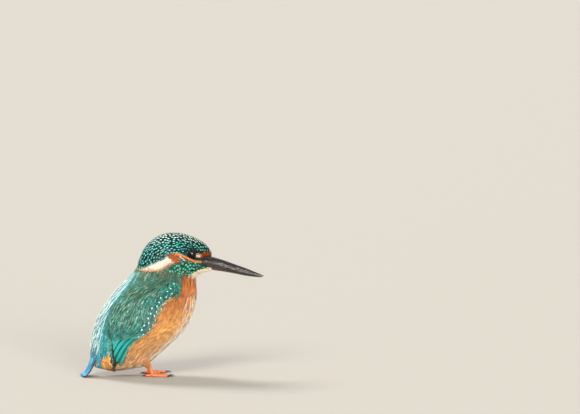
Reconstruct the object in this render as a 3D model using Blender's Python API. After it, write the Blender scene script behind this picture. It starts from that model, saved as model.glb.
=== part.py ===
"""A perched common kingfisher (Alcedo atthis), life size, as a still museum model.

Frame: +X the way the bird faces, +Y its left, +Z up, origin on the floor under the middle of its length.
Design sizes are millimetres in the side plane (x forward, z up). placed() turns them into metres
and moves the middle of the bird's length over the origin. Each form is a loft of oval rings: a ring runs
from a point on the back line to a point on the belly line, and stands half_width out to each side.
"""

import bmesh
import bpy
import numpy as np
from mathutils import Vector

MM = 0.001
GAP = 0.3  # between pieces that meet

# Driving dimensions
BILL_TIP = (63.4, 68.6)
TAIL_TIP_X = -67.0
LENGTH_CENTRE = (BILL_TIP[0] + TAIL_TIP_X) / 2
EYE_CENTRE = (11.5, 8.4, 85.9)
EYE_RADIUS = 3.3
FOOT_X = -16.0
FOOT_HALF_SPREAD = 8.2
FOOT_TOE_OUT = 0.10  # how far each foot turns out, as sideways travel for each unit forward
TARSUS_LENGTH = 9.6
TARSUS_LEAN = (-0.30, 0.01, 0.954)  # the way the shank runs up from the foot
TARSUS_RADII = (1.15, 1.05, 1.05, 1.1, 1.15)
TARSUS_SOCKET = 1.2  # radius of the shank's hole in the thigh, without the gap
THIGH_TOP = (-26.5, 7.6, 18.0)
THIGH_END = (-18.3, FOOT_HALF_SPREAD - 0.1, 6.8)
THIGH_RADII = (1.9, 4.0)  # at the ends, and what the fullest place adds
ANKLE = (FOOT_X - 0.1, FOOT_HALF_SPREAD, 1.55)
ANKLE_RADIUS = 1.65

# Ring stations: back line x, z; belly line x, z; half width
HEAD = [
    (27.4, 82.6, 28.0, 73.8, 4.0),
    (25.4, 87.8, 25.2, 73.0, 6.0),
    (21.3, 92.4, 20.8, 71.8, 8.2),
    (14.2, 96.6, 15.6, 69.3, 10.8),
    (5.0, 99.4, 8.0, 67.9, 13.2),
    (-4.6, 99.5, 0.5, 67.8, 14.6),
    (-13.2, 96.2, -7.0, 68.3, 14.4),
    (-20.0, 89.6, -14.5, 69.4, 12.4),
    (-23.8, 81.4, -20.5, 71.2, 8.6),
    (-25.6, 76.2, -23.8, 73.4, 3.6),
]
BODY = [
    (-5.0, 86.0, 7.0, 80.0, 6.0),
    (-17.0, 81.6, 13.2, 71.4, 11.6),
    (-25.6, 74.6, 15.5, 64.5, 16.0),
    (-33.6, 66.4, 15.9, 58.0, 19.2),
    (-41.2, 58.4, 15.3, 51.0, 21.2),
    (-48.0, 49.4, 13.5, 44.2, 22.0),
    (-53.0, 40.6, 10.3, 37.0, 21.8),
    (-56.2, 31.9, 5.2, 29.8, 20.4),
    (-57.8, 23.8, -2.0, 22.6, 18.0),
    (-58.2, 16.4, -10.3, 15.4, 15.0),
    (-57.6, 10.6, -16.8, 9.6, 11.6),
    (-55.0, 6.9, -23.0, 6.2, 8.2),
    (-49.0, 5.2, -32.0, 4.9, 4.4),
]
HEAD_FULLNESS = -0.09  # cheeks: a ring is widest towards the belly line
BODY_FULLNESS = 0.10  # shoulders: widest towards the back line

# Bill stations: x; ridge z; cutting edge z; half width
UPPER_BILL = [
    (19.6, 82.8, 78.5, 7.3),
    (23.5, 83.4, 78.0, 6.8),
    (28.5, 82.3, 77.2, 5.0),
    (35.5, 80.1, 75.5, 3.9),
    (43.2, 77.2, 73.4, 3.0),
    (50.9, 74.3, 71.5, 2.1),
    (57.6, 71.5, 69.9, 1.2),
    (63.4, 69.0, 68.4, 0.35),
]
LOWER_BILL = [
    (19.6, 74.4, 78.1, 7.2),
    (23.5, 73.6, 77.6, 6.5),
    (28.5, 72.9, 76.8, 4.9),
    (35.5, 72.1, 75.1, 3.8),
    (43.2, 70.6, 72.9, 2.8),
    (50.9, 69.0, 70.6, 1.9),
    (57.2, 68.1, 69.2, 1.1),
    (62.6, 67.8, 68.2, 0.35),
]

# Folded wing stations, shoulder to tip: rear edge x, z; front edge x, z; lift of its face off the body
WING = [
    (-8.0, 70.2, 0.6, 67.6, 0.6),
    (-18.5, 69.0, 3.4, 62.6, 1.7),
    (-27.6, 65.0, -1.6, 58.2, 2.3),
    (-35.2, 59.0, -7.2, 53.2, 2.5),
    (-41.0, 51.6, -12.2, 46.8, 2.5),
    (-45.0, 43.4, -16.0, 40.0, 2.4),
    (-47.0, 35.2, -20.4, 32.6, 2.1),
    (-46.8, 27.2, -28.4, 25.8, 1.7),
    (-45.2, 20.2, -33.0, 19.2, 1.3),
    (-43.2, 13.4, -35.2, 12.8, 1.1),
    (-41.0, 7.4, -37.6, 7.2, 0.9),
]
WING_SINK = 1.0  # how far the wing's inner face lies in the body
WING_STAND = 0.35  # least height of the wing's outer face over the body
WING_EDGE = 1.1  # thickness of the wing's edges
WING_TIP_SPREAD = 9.6  # least distance of the wing tip from the middle plane

# Tail stations: centre x, z; half width; thickness
TAIL = [
    (-46.5, 31.0, 4.6, 3.0),
    (-52.0, 21.5, 6.2, 3.2),
    (-56.1, 13.5, 7.4, 2.9),
    (-59.2, 7.0, 8.2, 2.2),
    (-62.6, 2.3, 8.6, 1.5),
    (TAIL_TIP_X, 0.5, 7.4, 1.0),
]

# Toes: length, half thickness at root and tip, sideways place at the root, sideways turn for each unit
TOES = {
    "middle": (11.6, 1.25, 0.85, 0.0, 0.02),
    "outer": (10.4, 1.15, 0.8, 1.7, 0.10),
    "inner": (7.2, 1.1, 0.75, -1.5, -0.26),
    "hind": (-4.6, 1.15, 0.8, 0.0, -0.10),
}
CLAWS = {"middle": 3.9, "outer": 3.4, "inner": 3.0, "hind": 2.6}

NECK_CUT = ((-30.0, 68.0), (17.0, 59.5))  # the collar plane, seen from the side

# Rings along a form, points around each
HEAD_RINGS = (18, 24)
BODY_RINGS = (22, 24)
BILL_RINGS = (12, 9)
TOE_AROUND = 8

COLOURS = {  # linear colour, roughness
    "crown": ((0.012, 0.13, 0.13), 0.6),
    "rufous": ((0.70, 0.25, 0.055), 0.8),
    "teal": ((0.014, 0.19, 0.17), 0.6),
    "azure": ((0.03, 0.36, 0.52), 0.6),
    "bill": ((0.015, 0.013, 0.014), 0.35),
    "eye": ((0.008, 0.005, 0.004), 0.05),
    "leg": ((0.72, 0.11, 0.035), 0.5),
    "claw": ((0.03, 0.02, 0.016), 0.35),
}


def clear_scene():
    for obj in list(bpy.data.objects):
        bpy.data.objects.remove(obj, do_unlink=True)


def placed(points):
    """Design millimetres to metres, with the middle of the length over the origin."""
    points = np.asarray(points, float) - (LENGTH_CENTRE, 0.0, 0.0)
    return points * MM


def through(stations, count):
    """count rows read from one smooth (Catmull-Rom) curve through the stations."""
    p = np.asarray(stations, float)
    last = len(p) - 2
    p = np.vstack([2 * p[0] - p[1], p, 2 * p[-1] - p[-2]])
    t = np.linspace(0, last + 1, count)
    i = np.minimum(t.astype(int), last)
    f = (t - i)[:, None]
    a, b, c, d = p[i], p[i + 1], p[i + 2], p[i + 3]
    cubic = (3 * b - a - 3 * c + d) * f**3
    return 0.5 * (2 * b + (c - a) * f + (2 * a - 5 * b + 4 * c - d) * f**2 + cubic)


def material(name):
    found = bpy.data.materials.get(name)
    if found:
        return found
    made = bpy.data.materials.new(name)
    made.use_nodes = True
    colour, roughness = COLOURS[name]
    shader = made.node_tree.nodes["Principled BSDF"]
    shader.inputs["Base Color"].default_value = (*colour, 1.0)
    shader.inputs["Roughness"].default_value = roughness
    shader.inputs["Metallic"].default_value = 0.0
    return made


def as_object(bm, name, finish):
    """bm as one named object with outward normals, shaded smooth."""
    bmesh.ops.triangulate(bm, faces=bm.faces)
    bmesh.ops.recalc_face_normals(bm, faces=bm.faces)
    mesh = bpy.data.meshes.new(name)
    bm.to_mesh(mesh)
    bm.free()
    mesh.shade_smooth()
    obj = bpy.data.objects.new(name, mesh)
    mesh.materials.append(material(finish))
    bpy.context.scene.collection.objects.link(obj)
    return obj


def loft(rings):
    """A closed bmesh through rings of points, each end closed by a fan to its middle."""
    rings = placed(rings)
    bm = bmesh.new()
    loops = [[bm.verts.new(p) for p in ring] for ring in rings]
    count = len(loops[0])
    for near, far in zip(loops, loops[1:]):
        for k in range(count):
            n = (k + 1) % count
            bm.faces.new((near[k], near[n], far[n], far[k]))
    for loop in (loops[0], loops[-1]):
        middle = bm.verts.new(sum((v.co for v in loop), Vector()) / count)
        for k in range(count):
            bm.faces.new((loop[k], loop[(k + 1) % count], middle))
    return bm


def oval_rings(stations, fullness, count, around, grow=0.0):
    """Rings of a body form. grow moves the surface out by that much."""
    rows = through(stations, count)
    angle = np.linspace(0, 2 * np.pi, around, endpoint=False)
    rings = []
    for bx, bz, vx, vz, width in rows:
        back, belly = np.array([bx, bz]), np.array([vx, vz])
        middle, half = (back + belly) / 2, (back - belly) / 2
        half = half * (1 + grow / np.linalg.norm(half))
        side = (width + grow) * np.sin(angle) * (1 + fullness * np.cos(angle))
        plane = middle + half * np.cos(angle)[:, None]
        rings.append(np.column_stack([plane[:, 0], side, plane[:, 1]]))
    if grow:
        ends = rings[0] - rings[1], rings[-1] - rings[-2]
        for end, step in zip((0, -1), ends):
            way = step.mean(0) / np.linalg.norm(step.mean(0))
            rings[end] = rings[end] + way * grow
    return rings


def half_width_at(x, z):
    """The body's half width at side-view places: each lies on one ring's chord, found by its crossing."""
    rows = through(BODY, 400)
    back, belly = rows[:, None, :2], rows[:, None, 2:4]
    chord = back - belly
    place = np.stack([np.ravel(x), np.ravel(z)], 1)[None]
    off = chord[..., 0] * (place - belly)[..., 1] - chord[..., 1] * (place - belly)[..., 0]
    ring = np.abs(off / np.linalg.norm(chord, axis=-1)).argmin(0)
    chord, belly, width = chord[ring, 0], belly[ring, 0], rows[ring, 4]
    share = ((place[0] - belly) * chord).sum(1) / (chord**2).sum(1)
    c = np.clip(2 * share - 1, -0.999, 0.999)
    return (width * np.sqrt(1 - c * c) * (1 + BODY_FULLNESS * c)).reshape(np.shape(x))


def wing_rings(count=18, across=7, grow=0.0):
    """The folded wing as a curved blade: its outer face follows the body and stands off it by its lift."""
    rings = []
    for rx, rz, fx, fz, lift in through(WING, count):
        rear, front = np.array([rx, rz]), np.array([fx, fz])
        span = (front - rear) / np.linalg.norm(front - rear)
        t = np.linspace(0, 1, across)
        place = (rear - span * grow) + np.outer(t, front - rear + 2 * span * grow)
        crown = 1 - (2 * t - 1) ** 4
        outer = half_width_at(place[:, 0], place[:, 1]) + WING_STAND + lift * crown
        outer = np.maximum(outer, WING_TIP_SPREAD + 0.2 * rz * (rz < 30))
        thick = WING_EDGE + 0.7 * (lift + WING_SINK) * crown
        inner = outer - thick
        out = np.column_stack([place[:, 0], outer + grow, place[:, 1]])
        back = np.column_stack([place[:, 0], inner - grow, place[:, 1]])
        rings.append(np.vstack([out, back[::-1]]))
    return rings


def half_dome_rings(stations, grow=0.0):
    """A bill half: a flat cutting face and a domed ridge or keel."""
    count, across = BILL_RINGS
    angle = np.linspace(0, np.pi, across)
    rings = []
    for x, ridge, edge, width in through(stations, count):
        up = np.sign(ridge - edge)
        dome = edge + (ridge - edge + up * grow) * np.sin(angle) ** 0.85 - up * grow
        dome[1:-1] += up * grow
        side = (width + grow) * np.cos(angle)
        rings.append(np.column_stack([np.full(across, x), side, dome]))
    return rings


def tail_rings(count=10, across=9, grow=0.0):
    """A fanned blade, arched a little over its back."""
    rows = through(TAIL, count)
    way = np.gradient(rows[:, :2], axis=0)
    way /= np.linalg.norm(way, axis=1)[:, None]
    up = np.column_stack([way[:, 1], -way[:, 0]])
    up *= -np.sign(up[:, :1])
    t = np.linspace(-1, 1, across)
    rings = []
    for (x, z, width, thick), n in zip(rows, up):
        arch = -0.10 * width * t**2
        edge = np.sqrt(np.clip(1 - 0.8 * t**4, 0, 1))
        faces = []
        for face in (1, -1):
            out = arch + face * (thick / 2 * edge + grow)
            faces.append(np.column_stack([x + n[0] * out, (width + grow) * t, z + n[1] * out]))
        rings.append(np.vstack([faces[0], faces[1][::-1]]))
    if grow:
        rings[0] = rings[0] + (0.6, 0, 0.9)
    return rings


def tube_rings(path, radii, around=8):
    """Round rings along a path of points, each square to the path."""
    path = np.asarray(path, float)
    way = np.gradient(path, axis=0)
    angle = np.linspace(0, 2 * np.pi, around, endpoint=False)
    rings = []
    for centre, forward, radius in zip(path, way, radii):
        forward = forward / np.linalg.norm(forward)
        side = np.cross(forward, (0.0, 0.05, 1.0) if abs(forward[2]) < 0.9 else (1.0, 0.0, 0.0))
        side /= np.linalg.norm(side)
        up = np.cross(side, forward)
        rings.append(centre + radius * (np.outer(np.cos(angle), side) + np.outer(np.sin(angle), up)))
    return rings


def cutter(bm, name):
    """A hidden helper that only cuts or joins."""
    obj = as_object(bm, name, "bill")
    obj.hide_render = True
    obj.display_type = "WIRE"
    return obj


def combine(obj, other, operation):
    step = obj.modifiers.new(operation.lower() + "_" + other.name, "BOOLEAN")
    step.operation = operation
    step.solver = "EXACT"
    step.object = other


def half_space(bm, from_point, to_point, shift, keep_upper):
    """Cuts a closed bmesh by the upright plane through two side-view points, moved up by shift."""
    a, b = (placed([(p[0], 0.0, p[1])])[0] for p in (from_point, to_point))
    normal = Vector(np.cross(b - a, (0.0, 1.0, 0.0))).normalized()
    if normal.z < 0:
        normal = -normal
    geometry = list(bm.verts) + list(bm.edges) + list(bm.faces)
    cut = bmesh.ops.bisect_plane(
        bm,
        geom=geometry,
        dist=1e-7,
        plane_co=Vector(a) + normal * (shift * MM),
        plane_no=normal,
        clear_inner=keep_upper,
        clear_outer=not keep_upper,
    )
    edges = [e for e in cut["geom_cut"] if isinstance(e, bmesh.types.BMEdge)]
    bmesh.ops.edgeloop_fill(bm, edges=edges)
    return bm


def mirrored(rings, side):
    """The left foot's, wing's or eye's rings, turned over to the right where side is -1."""
    return [ring * (1, side, 1) for ring in rings]


def toe_path(toe):
    """The left foot's toe, as a middle line from root to tip, lying on the floor, a little arched."""
    length, root, tip, place, turn = TOES[toe]
    t = np.linspace(0, 1, 7)
    radii = root + (tip - root) * t + 0.12 * np.sin(t * 3 * np.pi) ** 2
    forward = FOOT_X + length * t
    sideways = FOOT_HALF_SPREAD + place + FOOT_TOE_OUT * length * t + turn * abs(length) * t
    height = radii * 0.8 + 0.15 * np.sin(np.pi * t) * (1 - t)
    return np.column_stack([forward, sideways, height]), radii


def claw_rings(toe):
    """A claw: a tapering tube on an arc from the toe's end down to the floor."""
    path, radii = toe_path(toe)
    way = path[-1] - path[-2]
    way /= np.linalg.norm(way)
    reach = CLAWS[toe]
    t = np.linspace(0, 1, 6)[:, None]
    lift = 0.22 * reach * np.sin(np.pi * t * 0.9) - t**2 * (path[-1][2] - 0.45)
    start = path[-1] + way * (0.1 + GAP)
    centre = start + way * reach * t * (1 - 0.08 * t) + lift * (0, 0, 1)
    return tube_rings(centre, radii[-1] * 0.82 * (1 - 0.72 * t[:, 0] ** 1.2), around=6)


def thigh_rings(grow=0.0):
    """The feathered thigh: an egg, fullest near its top, from the flank down to the top of the tarsus."""
    top, end = np.array(THIGH_TOP), np.array(THIGH_END)
    t = np.linspace(0, 1, 9)
    path = top + np.outer(t, end - top)
    bulge = np.sin(np.pi * (0.12 + 0.88 * t)).clip(0) ** 0.8 * (1 - 0.42 * t)
    radii = THIGH_RADII[0] + THIGH_RADII[1] * bulge + grow
    if grow:
        step = (path[-1] - path[0]) / np.linalg.norm(path[-1] - path[0])
        path[0] -= step * grow
        path[-1] += step * grow
    return tube_rings(path, radii, around=12)


def tarsus_path():
    """The left shank's middle line, from the root of the toes up into the thigh."""
    foot = np.array([FOOT_X - 0.2, FOOT_HALF_SPREAD, 1.7])
    t = np.linspace(0, 1, 6)
    return foot + np.outer(t, TARSUS_LEAN) * TARSUS_LENGTH


def ball(centre, radius, side, subdivisions=3):
    bm = bmesh.new()
    bmesh.ops.create_icosphere(bm, subdivisions=subdivisions, radius=radius * MM)
    bmesh.ops.translate(bm, vec=Vector(placed([np.multiply(centre, (1, side, 1))])[0]), verts=bm.verts)
    return bm


def toe_mesh(toe, side):
    return loft(mirrored(tube_rings(*toe_path(toe), around=TOE_AROUND), side))


def build_cutters():
    """Grown copies of pieces that sit in others, and the floor."""
    made = {
        "upper": cutter(loft(half_dome_rings(UPPER_BILL, grow=GAP)), "cut_upper_bill"),
        "lower": cutter(loft(half_dome_rings(LOWER_BILL, grow=GAP)), "cut_lower_bill"),
        "head": cutter(loft(oval_rings(HEAD, HEAD_FULLNESS, *HEAD_RINGS, grow=GAP)), "cut_head"),
        "tail": cutter(loft(tail_rings(grow=GAP)), "cut_tail"),
    }
    for label, side in (("left", 1), ("right", -1)):
        wing = loft(mirrored(wing_rings(grow=GAP), side))
        made["wing_" + label] = cutter(wing, "cut_wing_" + label)
        thigh = loft(mirrored(thigh_rings(grow=GAP), side))
        made["thigh_" + label] = cutter(thigh, "cut_thigh_" + label)
        made["eye_" + label] = cutter(ball(EYE_CENTRE, EYE_RADIUS + GAP, side), "cut_eye_" + label)
        path = tarsus_path()
        path[-1] += (path[-1] - path[0]) * 0.05
        shank = tube_rings(path, np.full(len(path), TARSUS_SOCKET + GAP), around=10)
        made["leg_" + label] = cutter(loft(mirrored(shank, side)), "cut_leg_" + label)
    floor = bmesh.new()
    bmesh.ops.create_cube(floor, size=1.0)
    bmesh.ops.scale(floor, vec=(0.3, 0.2, 0.02), verts=floor.verts)
    bmesh.ops.translate(floor, vec=(0.0, 0.0, -0.01), verts=floor.verts)
    made["floor"] = cutter(floor, "cut_floor")
    return made


def build_head(cut):
    head = as_object(loft(oval_rings(HEAD, HEAD_FULLNESS, *HEAD_RINGS)), "head", "crown")
    for name in ("eye_left", "eye_right", "upper", "lower"):
        combine(head, cut[name], "DIFFERENCE")
    as_object(loft(half_dome_rings(UPPER_BILL)), "bill_upper", "bill")
    as_object(loft(half_dome_rings(LOWER_BILL)), "bill_lower", "bill")
    for label, side in (("left", 1), ("right", -1)):
        as_object(ball(EYE_CENTRE, EYE_RADIUS, side), "eye_" + label, "eye")


def build_trunk(cut):
    rings = oval_rings(BODY, BODY_FULLNESS, *BODY_RINGS)
    neck = as_object(half_space(loft(rings), *NECK_CUT, GAP / 2, True), "neck", "rufous")
    combine(neck, cut["head"], "DIFFERENCE")
    trunk = as_object(half_space(loft(rings), *NECK_CUT, -GAP / 2, False), "trunk", "rufous")
    for name in ("tail", "wing_left", "wing_right", "thigh_left", "thigh_right"):
        combine(trunk, cut[name], "DIFFERENCE")
    for label in ("left", "right"):
        combine(neck, cut["wing_" + label], "DIFFERENCE")


def build_wings_and_tail(cut):
    for label, side in (("left", 1), ("right", -1)):
        wing = as_object(loft(mirrored(wing_rings(), side)), "wing_" + label, "teal")
        combine(wing, cut["head"], "DIFFERENCE")
    tail = as_object(loft(tail_rings()), "tail", "azure")
    combine(tail, cut["floor"], "DIFFERENCE")


def build_legs(cut):
    for label, side in (("left", 1), ("right", -1)):
        thigh = as_object(loft(mirrored(thigh_rings(), side)), "thigh_" + label, "rufous")
        combine(thigh, cut["leg_" + label], "DIFFERENCE")
        path = tarsus_path()
        shank = tube_rings(path[1:], TARSUS_RADII, around=10)
        as_object(loft(mirrored(shank, side)), "leg_" + label, "leg")
        foot = as_object(toe_mesh("middle", side), "foot_" + label, "leg")
        for toe in ("outer", "inner", "hind"):
            combine(foot, cutter(toe_mesh(toe, side), f"toe_{toe}_{label}"), "UNION")
        ankle = cutter(ball(ANKLE, ANKLE_RADIUS, side, subdivisions=2), "ankle_" + label)
        combine(foot, ankle, "UNION")
        combine(foot, cut["floor"], "DIFFERENCE")
        for toe in CLAWS:
            claw = as_object(loft(mirrored(claw_rings(toe), side)), f"claw_{label}_{toe}", "claw")
            combine(claw, cut["floor"], "DIFFERENCE")


def main():
    clear_scene()
    cut = build_cutters()
    build_head(cut)
    build_trunk(cut)
    build_wings_and_tail(cut)
    build_legs(cut)


main()
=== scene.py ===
"""Looks of a perched common kingfisher, life size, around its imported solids.

Lengths are millimetres in the bird's side plane (x the way it faces, y to its left, z up) until placed()
puts them in the model's frame. One skin lies under the plumage, and each feather is a thin closed blade
laid on a sheet: it starts under the coat's outer face and rises to it, so coats overlap like shingles.
Most numbers after the tables are millimetres, or shares s down a sheet and a or u across it.
"""
import math

import bpy
import numpy as np
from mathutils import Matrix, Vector
from mathutils.kdtree import KDTree


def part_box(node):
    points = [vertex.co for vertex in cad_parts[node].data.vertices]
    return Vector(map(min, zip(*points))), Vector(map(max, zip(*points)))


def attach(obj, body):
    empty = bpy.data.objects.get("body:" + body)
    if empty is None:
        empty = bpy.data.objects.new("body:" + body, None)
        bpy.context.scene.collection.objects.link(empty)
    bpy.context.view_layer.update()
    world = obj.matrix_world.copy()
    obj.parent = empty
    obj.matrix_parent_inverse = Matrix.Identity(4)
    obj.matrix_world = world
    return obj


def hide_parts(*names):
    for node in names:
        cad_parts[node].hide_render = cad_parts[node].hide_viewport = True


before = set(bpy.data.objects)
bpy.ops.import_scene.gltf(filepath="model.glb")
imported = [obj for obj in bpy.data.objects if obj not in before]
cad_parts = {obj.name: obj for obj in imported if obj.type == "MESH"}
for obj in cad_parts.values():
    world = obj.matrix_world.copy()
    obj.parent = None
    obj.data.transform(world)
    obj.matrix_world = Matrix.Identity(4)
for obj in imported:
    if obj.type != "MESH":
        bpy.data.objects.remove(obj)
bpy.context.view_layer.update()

MM = 0.001
BILL_TIP_X = 63.4
SHIFT = BILL_TIP_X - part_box("bill_upper")[1].x / MM  # design x over the model's origin
EYE = np.array([11.5, 8.4, 85.9])  # the left one
EYE_RADIUS = 3.3
EYE_OPENING = 2.4  # radius of the opening between the lids
IRIS_RADIUS, PUPIL_RADIUS = 2.25, 1.35

# Head and body as one form. Rings: back line x, z; belly line x, z; half width; fullness towards the back
FORM = [
    (27.4, 82.6, 28.0, 73.8, 4.0, -0.09),
    (25.4, 87.8, 25.2, 73.0, 6.0, -0.09),
    (21.3, 92.4, 20.8, 71.8, 8.2, -0.09),
    (14.2, 96.6, 17.6, 70.2, 10.8, -0.09),
    (5.0, 99.4, 16.2, 68.9, 13.2, -0.08),
    (-4.6, 99.5, 15.7, 68.2, 14.6, -0.06),
    (-13.2, 96.2, 15.4, 67.6, 14.9, -0.04),
    (-20.0, 89.6, 15.2, 67.1, 14.7, 0.0),
    (-23.8, 81.6, 15.2, 66.5, 14.2, 0.02),
    (-25.7, 75.8, 15.4, 65.6, 13.7, 0.04),
    (-29.2, 71.2, 15.8, 62.4, 15.9, 0.07),
    (-33.6, 66.4, 15.9, 58.0, 19.2, 0.10),
    (-41.2, 58.4, 15.3, 51.0, 21.2, 0.10),
    (-48.0, 49.4, 13.5, 44.2, 22.0, 0.10),
    (-53.0, 40.6, 10.3, 37.0, 21.8, 0.10),
    (-56.2, 31.9, 5.2, 29.8, 20.4, 0.10),
    (-57.8, 23.8, -2.0, 22.6, 18.0, 0.10),
    (-58.2, 16.4, -10.3, 15.4, 15.0, 0.10),
    (-57.6, 10.6, -16.8, 9.6, 11.6, 0.10),
    (-55.0, 6.9, -23.0, 6.2, 8.2, 0.10),
    (-49.0, 5.2, -32.0, 4.9, 4.4, 0.10),
]
# Swells and hollows of the form, the same on both sides: x, y, z; reach; height
SWELLS = [
    (11.5, 10.8, 85.9, 3.2, -0.55),  # eye socket
    (10.5, 9.6, 90.0, 3.4, 0.45),  # brow
    (1.0, 14.0, 81.5, 6.0, 0.5),  # ear
    (17.5, 9.4, 83.0, 3.0, -0.3),  # lore
    (22.5, 7.5, 78.8, 4.2, -1.5),  # bill's root
    (10.0, 12.6, 77.5, 4.0, 0.35),  # jaw
    (-22.0, 9.5, 11.5, 5.2, 1.3),  # thigh
]
# Folded wing, shoulder to tip: rear edge x, z; front edge x, z; lift off the body
WING = [
    (-8.0, 70.2, 0.6, 67.6, 0.6),
    (-18.5, 69.0, 3.4, 62.6, 1.7),
    (-27.6, 65.0, -1.6, 58.2, 2.3),
    (-35.2, 59.0, -7.2, 53.2, 2.5),
    (-41.0, 51.6, -11.6, 47.0, 2.5),
    (-45.0, 43.4, -14.8, 40.2, 2.4),
    (-46.8, 35.2, -19.0, 33.0, 2.1),
    (-46.0, 27.2, -28.4, 25.8, 1.7),
    (-44.8, 20.2, -32.6, 19.2, 1.3),
    (-43.4, 13.4, -34.6, 12.8, 1.1),
    (-41.6, 7.4, -36.8, 7.2, 0.9),
]
WING_STAND = 0.35  # least height of the wing's face over the body
WING_TIP_SPREAD = 9.6  # least distance of its tip from the side plane
WING_MARGIN = 0.3  # share of its width by which the wing's sheet goes on past each edge
TAIL_MARGIN = 1.15  # half width of the tail's sheet over the tail's own
# Tail, base to tip: centre x, z; half width; thickness
TAIL = [
    (-46.5, 31.0, 4.6, 3.0),
    (-52.0, 21.5, 6.2, 3.2),
    (-56.1, 13.5, 7.4, 2.9),
    (-59.2, 7.0, 8.2, 2.2),
    (-62.6, 2.3, 8.6, 1.5),
    (-67.0, 0.5, 7.4, 1.0),
]
# Bill stations: x; ridge or keel z; cutting edge z; half width
UPPER_BILL = [
    (15.6, 82.0, 80.9, 8.4),
    (18.2, 82.5, 80.6, 8.75),
    (20.6, 82.9, 80.5, 7.75),
    (23.5, 83.4, 80.1, 6.8),
    (28.5, 82.3, 79.0, 5.0),
    (35.5, 80.1, 77.0, 3.9),
    (43.2, 77.2, 74.5, 3.0),
    (50.9, 74.3, 72.2, 2.1),
    (57.6, 71.5, 70.3, 1.2),
    (63.4, 69.0, 68.4, 0.35),
]
LOWER_BILL = [
    (15.6, 77.5, 80.8, 8.3),
    (18.2, 76.6, 80.5, 8.65),
    (20.6, 75.6, 80.4, 7.65),
    (23.5, 74.4, 80.0, 6.7),
    (28.5, 73.2, 78.9, 4.9),
    (35.5, 72.1, 76.8, 3.8),
    (43.2, 70.6, 74.2, 2.9),
    (50.9, 69.0, 71.8, 2.0),
    (57.2, 68.1, 70.0, 1.15),
    (62.6, 67.8, 68.3, 0.35),
]
FOOT_X = -16.0
FOOT_SPREAD = 8.2  # from the side plane to the middle toe
FOOT_TOE_OUT = 0.10  # how far the toes turn out, as a slope
TARSUS_LENGTH = 9.6
TARSUS_LEAN = (-0.30, 0.01, 0.954)  # the way the shank runs up
# Toes: length, half thickness at root and tip, sideways place at the root, sideways turn, claw length
TOES = {
    "middle": (11.6, 1.25, 0.85, 0.0, 0.02, 3.9),
    "outer": (10.4, 1.15, 0.8, 1.7, 0.10, 3.4),
    "inner": (7.2, 1.1, 0.75, -1.5, -0.26, 3.0),
    "hind": (-4.6, 1.15, 0.8, 0.0, -0.10, 2.6),
}
THIGH_TOP = (-26.5, 7.6, 18.0)
THIGH_END = (-18.3, FOOT_SPREAD - 0.1, 6.8)
NOSTRIL_X = 27.6
BAKE_PATCH = 0.003  # side of one tuft's place on the bake map
DARTS_PER_ROOT = 6  # darts thrown for each root there is room for
CHORD_ROWS = 260  # rows among which the chord nearest a place is looked for
NAPE = 8  # station of the form where the neck starts
BODY_END = 0.985  # where the plumage ends, down the form
# Patterns of the materials, in cells to the millimetre
PLUMAGE_CLOUDS = 0.32
HORN_STREAKS = 1.05
HORN_DAPPLES = 0.42
LEG_SCALES = 2.0
LEG_TONES = 0.5
BARB_STRIPES = 60.0  # radians that the wave of the barbs' stripes runs through along a feather

INK = {  # sRGB
    # breast, belly and vent, with painted light on the underside: the painted glow, and pale fringes that
    # also stand for its lit edge
    "belly": "#ffc066", "breast": "#c66c2c", "vent": "#eeb06a", "fringe": "#fff9ee", "glow": "#ffd698",
    # crown and cheek, with a painted highlight on the crown's top
    "crown": "#032e36", "crown_tip": "#54d0c2", "crown_top": "#e0fff2", "brow": "#1d2a25",
    "malar": "#12443a", "malar_tip": "#4cbc9e",
    # face
    "ear": "#a44c10", "ear_tip": "#be6a20", "stripe": "#cc782c", "streak": "#f8efdc",
    "white": "#fbf6ec", "buff": "#dc9c52", "throat": "#fdf0d2",
    "lore": "#0f0d0d", "lore_spot": "#96461a", "cream": "#ecd4a8", "rim": "#0b0f10",
    # mantle and wing, with a painted sheen across the wing and the painted shadow in the gap behind it
    "mantle": "#28684a", "mantle_tip": "#7ab898", "shoulder": "#2a6e52", "moss": "#1a5444",
    "wing": "#0a9c98", "wing_tip": "#b8f2f4", "silver": "#a4cfc0", "sheen": "#a0e4d4",
    "slate": "#728f98", "dun": "#93846f", "gap": "#1d1513", "flight": "#16a09e", "flight_dark": "#17191c",
    # rump and tail, the pale azure tips partly a painted highlight along the back
    "azure": "#1eaebe", "azure_tip": "#f0ffff", "tail": "#1f78b4", "tail_tip": "#3aa6c6",
    # bare parts, with a painted glint along the bill's cutting edges
    "foot": "#ea7428", "sole": "#b8623c", "claw": "#2c221f", "bill": "#131213", "bill_base": "#4c2219",
    "bill_edge": "#6a605a", "pupil": "#050404", "iris": "#24130c",
}


def linear(code):
    """An sRGB hex colour as linear red, green, blue."""
    value = np.array([int(code[k : k + 2], 16) for k in (1, 3, 5)]) / 255
    return np.where(value <= 0.04045, value / 12.92, ((value + 0.055) / 1.055) ** 2.4)


def ink(name):
    """A colour of the table, linear."""
    return linear(INK[name])


def inks(names):
    """A colour for each of an array of names."""
    kinds, which = np.unique(names, return_inverse=True)
    return np.array([ink(kind) for kind in kinds])[which]


def alike(count, name, tip_name, strength):
    """The same colour and tip colour for count feathers, the tip with its strength."""
    return np.tile(ink(name), (count, 1)), np.tile(np.append(ink(tip_name), strength), (count, 1))


def tipless(tint):
    """Tip colours like the feathers' own, without strength."""
    return np.concatenate([tint, np.zeros((len(tint), 1))], 1)


def placed(points):
    """Design millimetres to the model's metres."""
    return (np.asarray(points, float) - (SHIFT, 0.0, 0.0)) * MM


def unit(v):
    """Vectors scaled to length 1."""
    return v / np.maximum(np.linalg.norm(v, axis=-1, keepdims=True), 1e-9)


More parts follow.
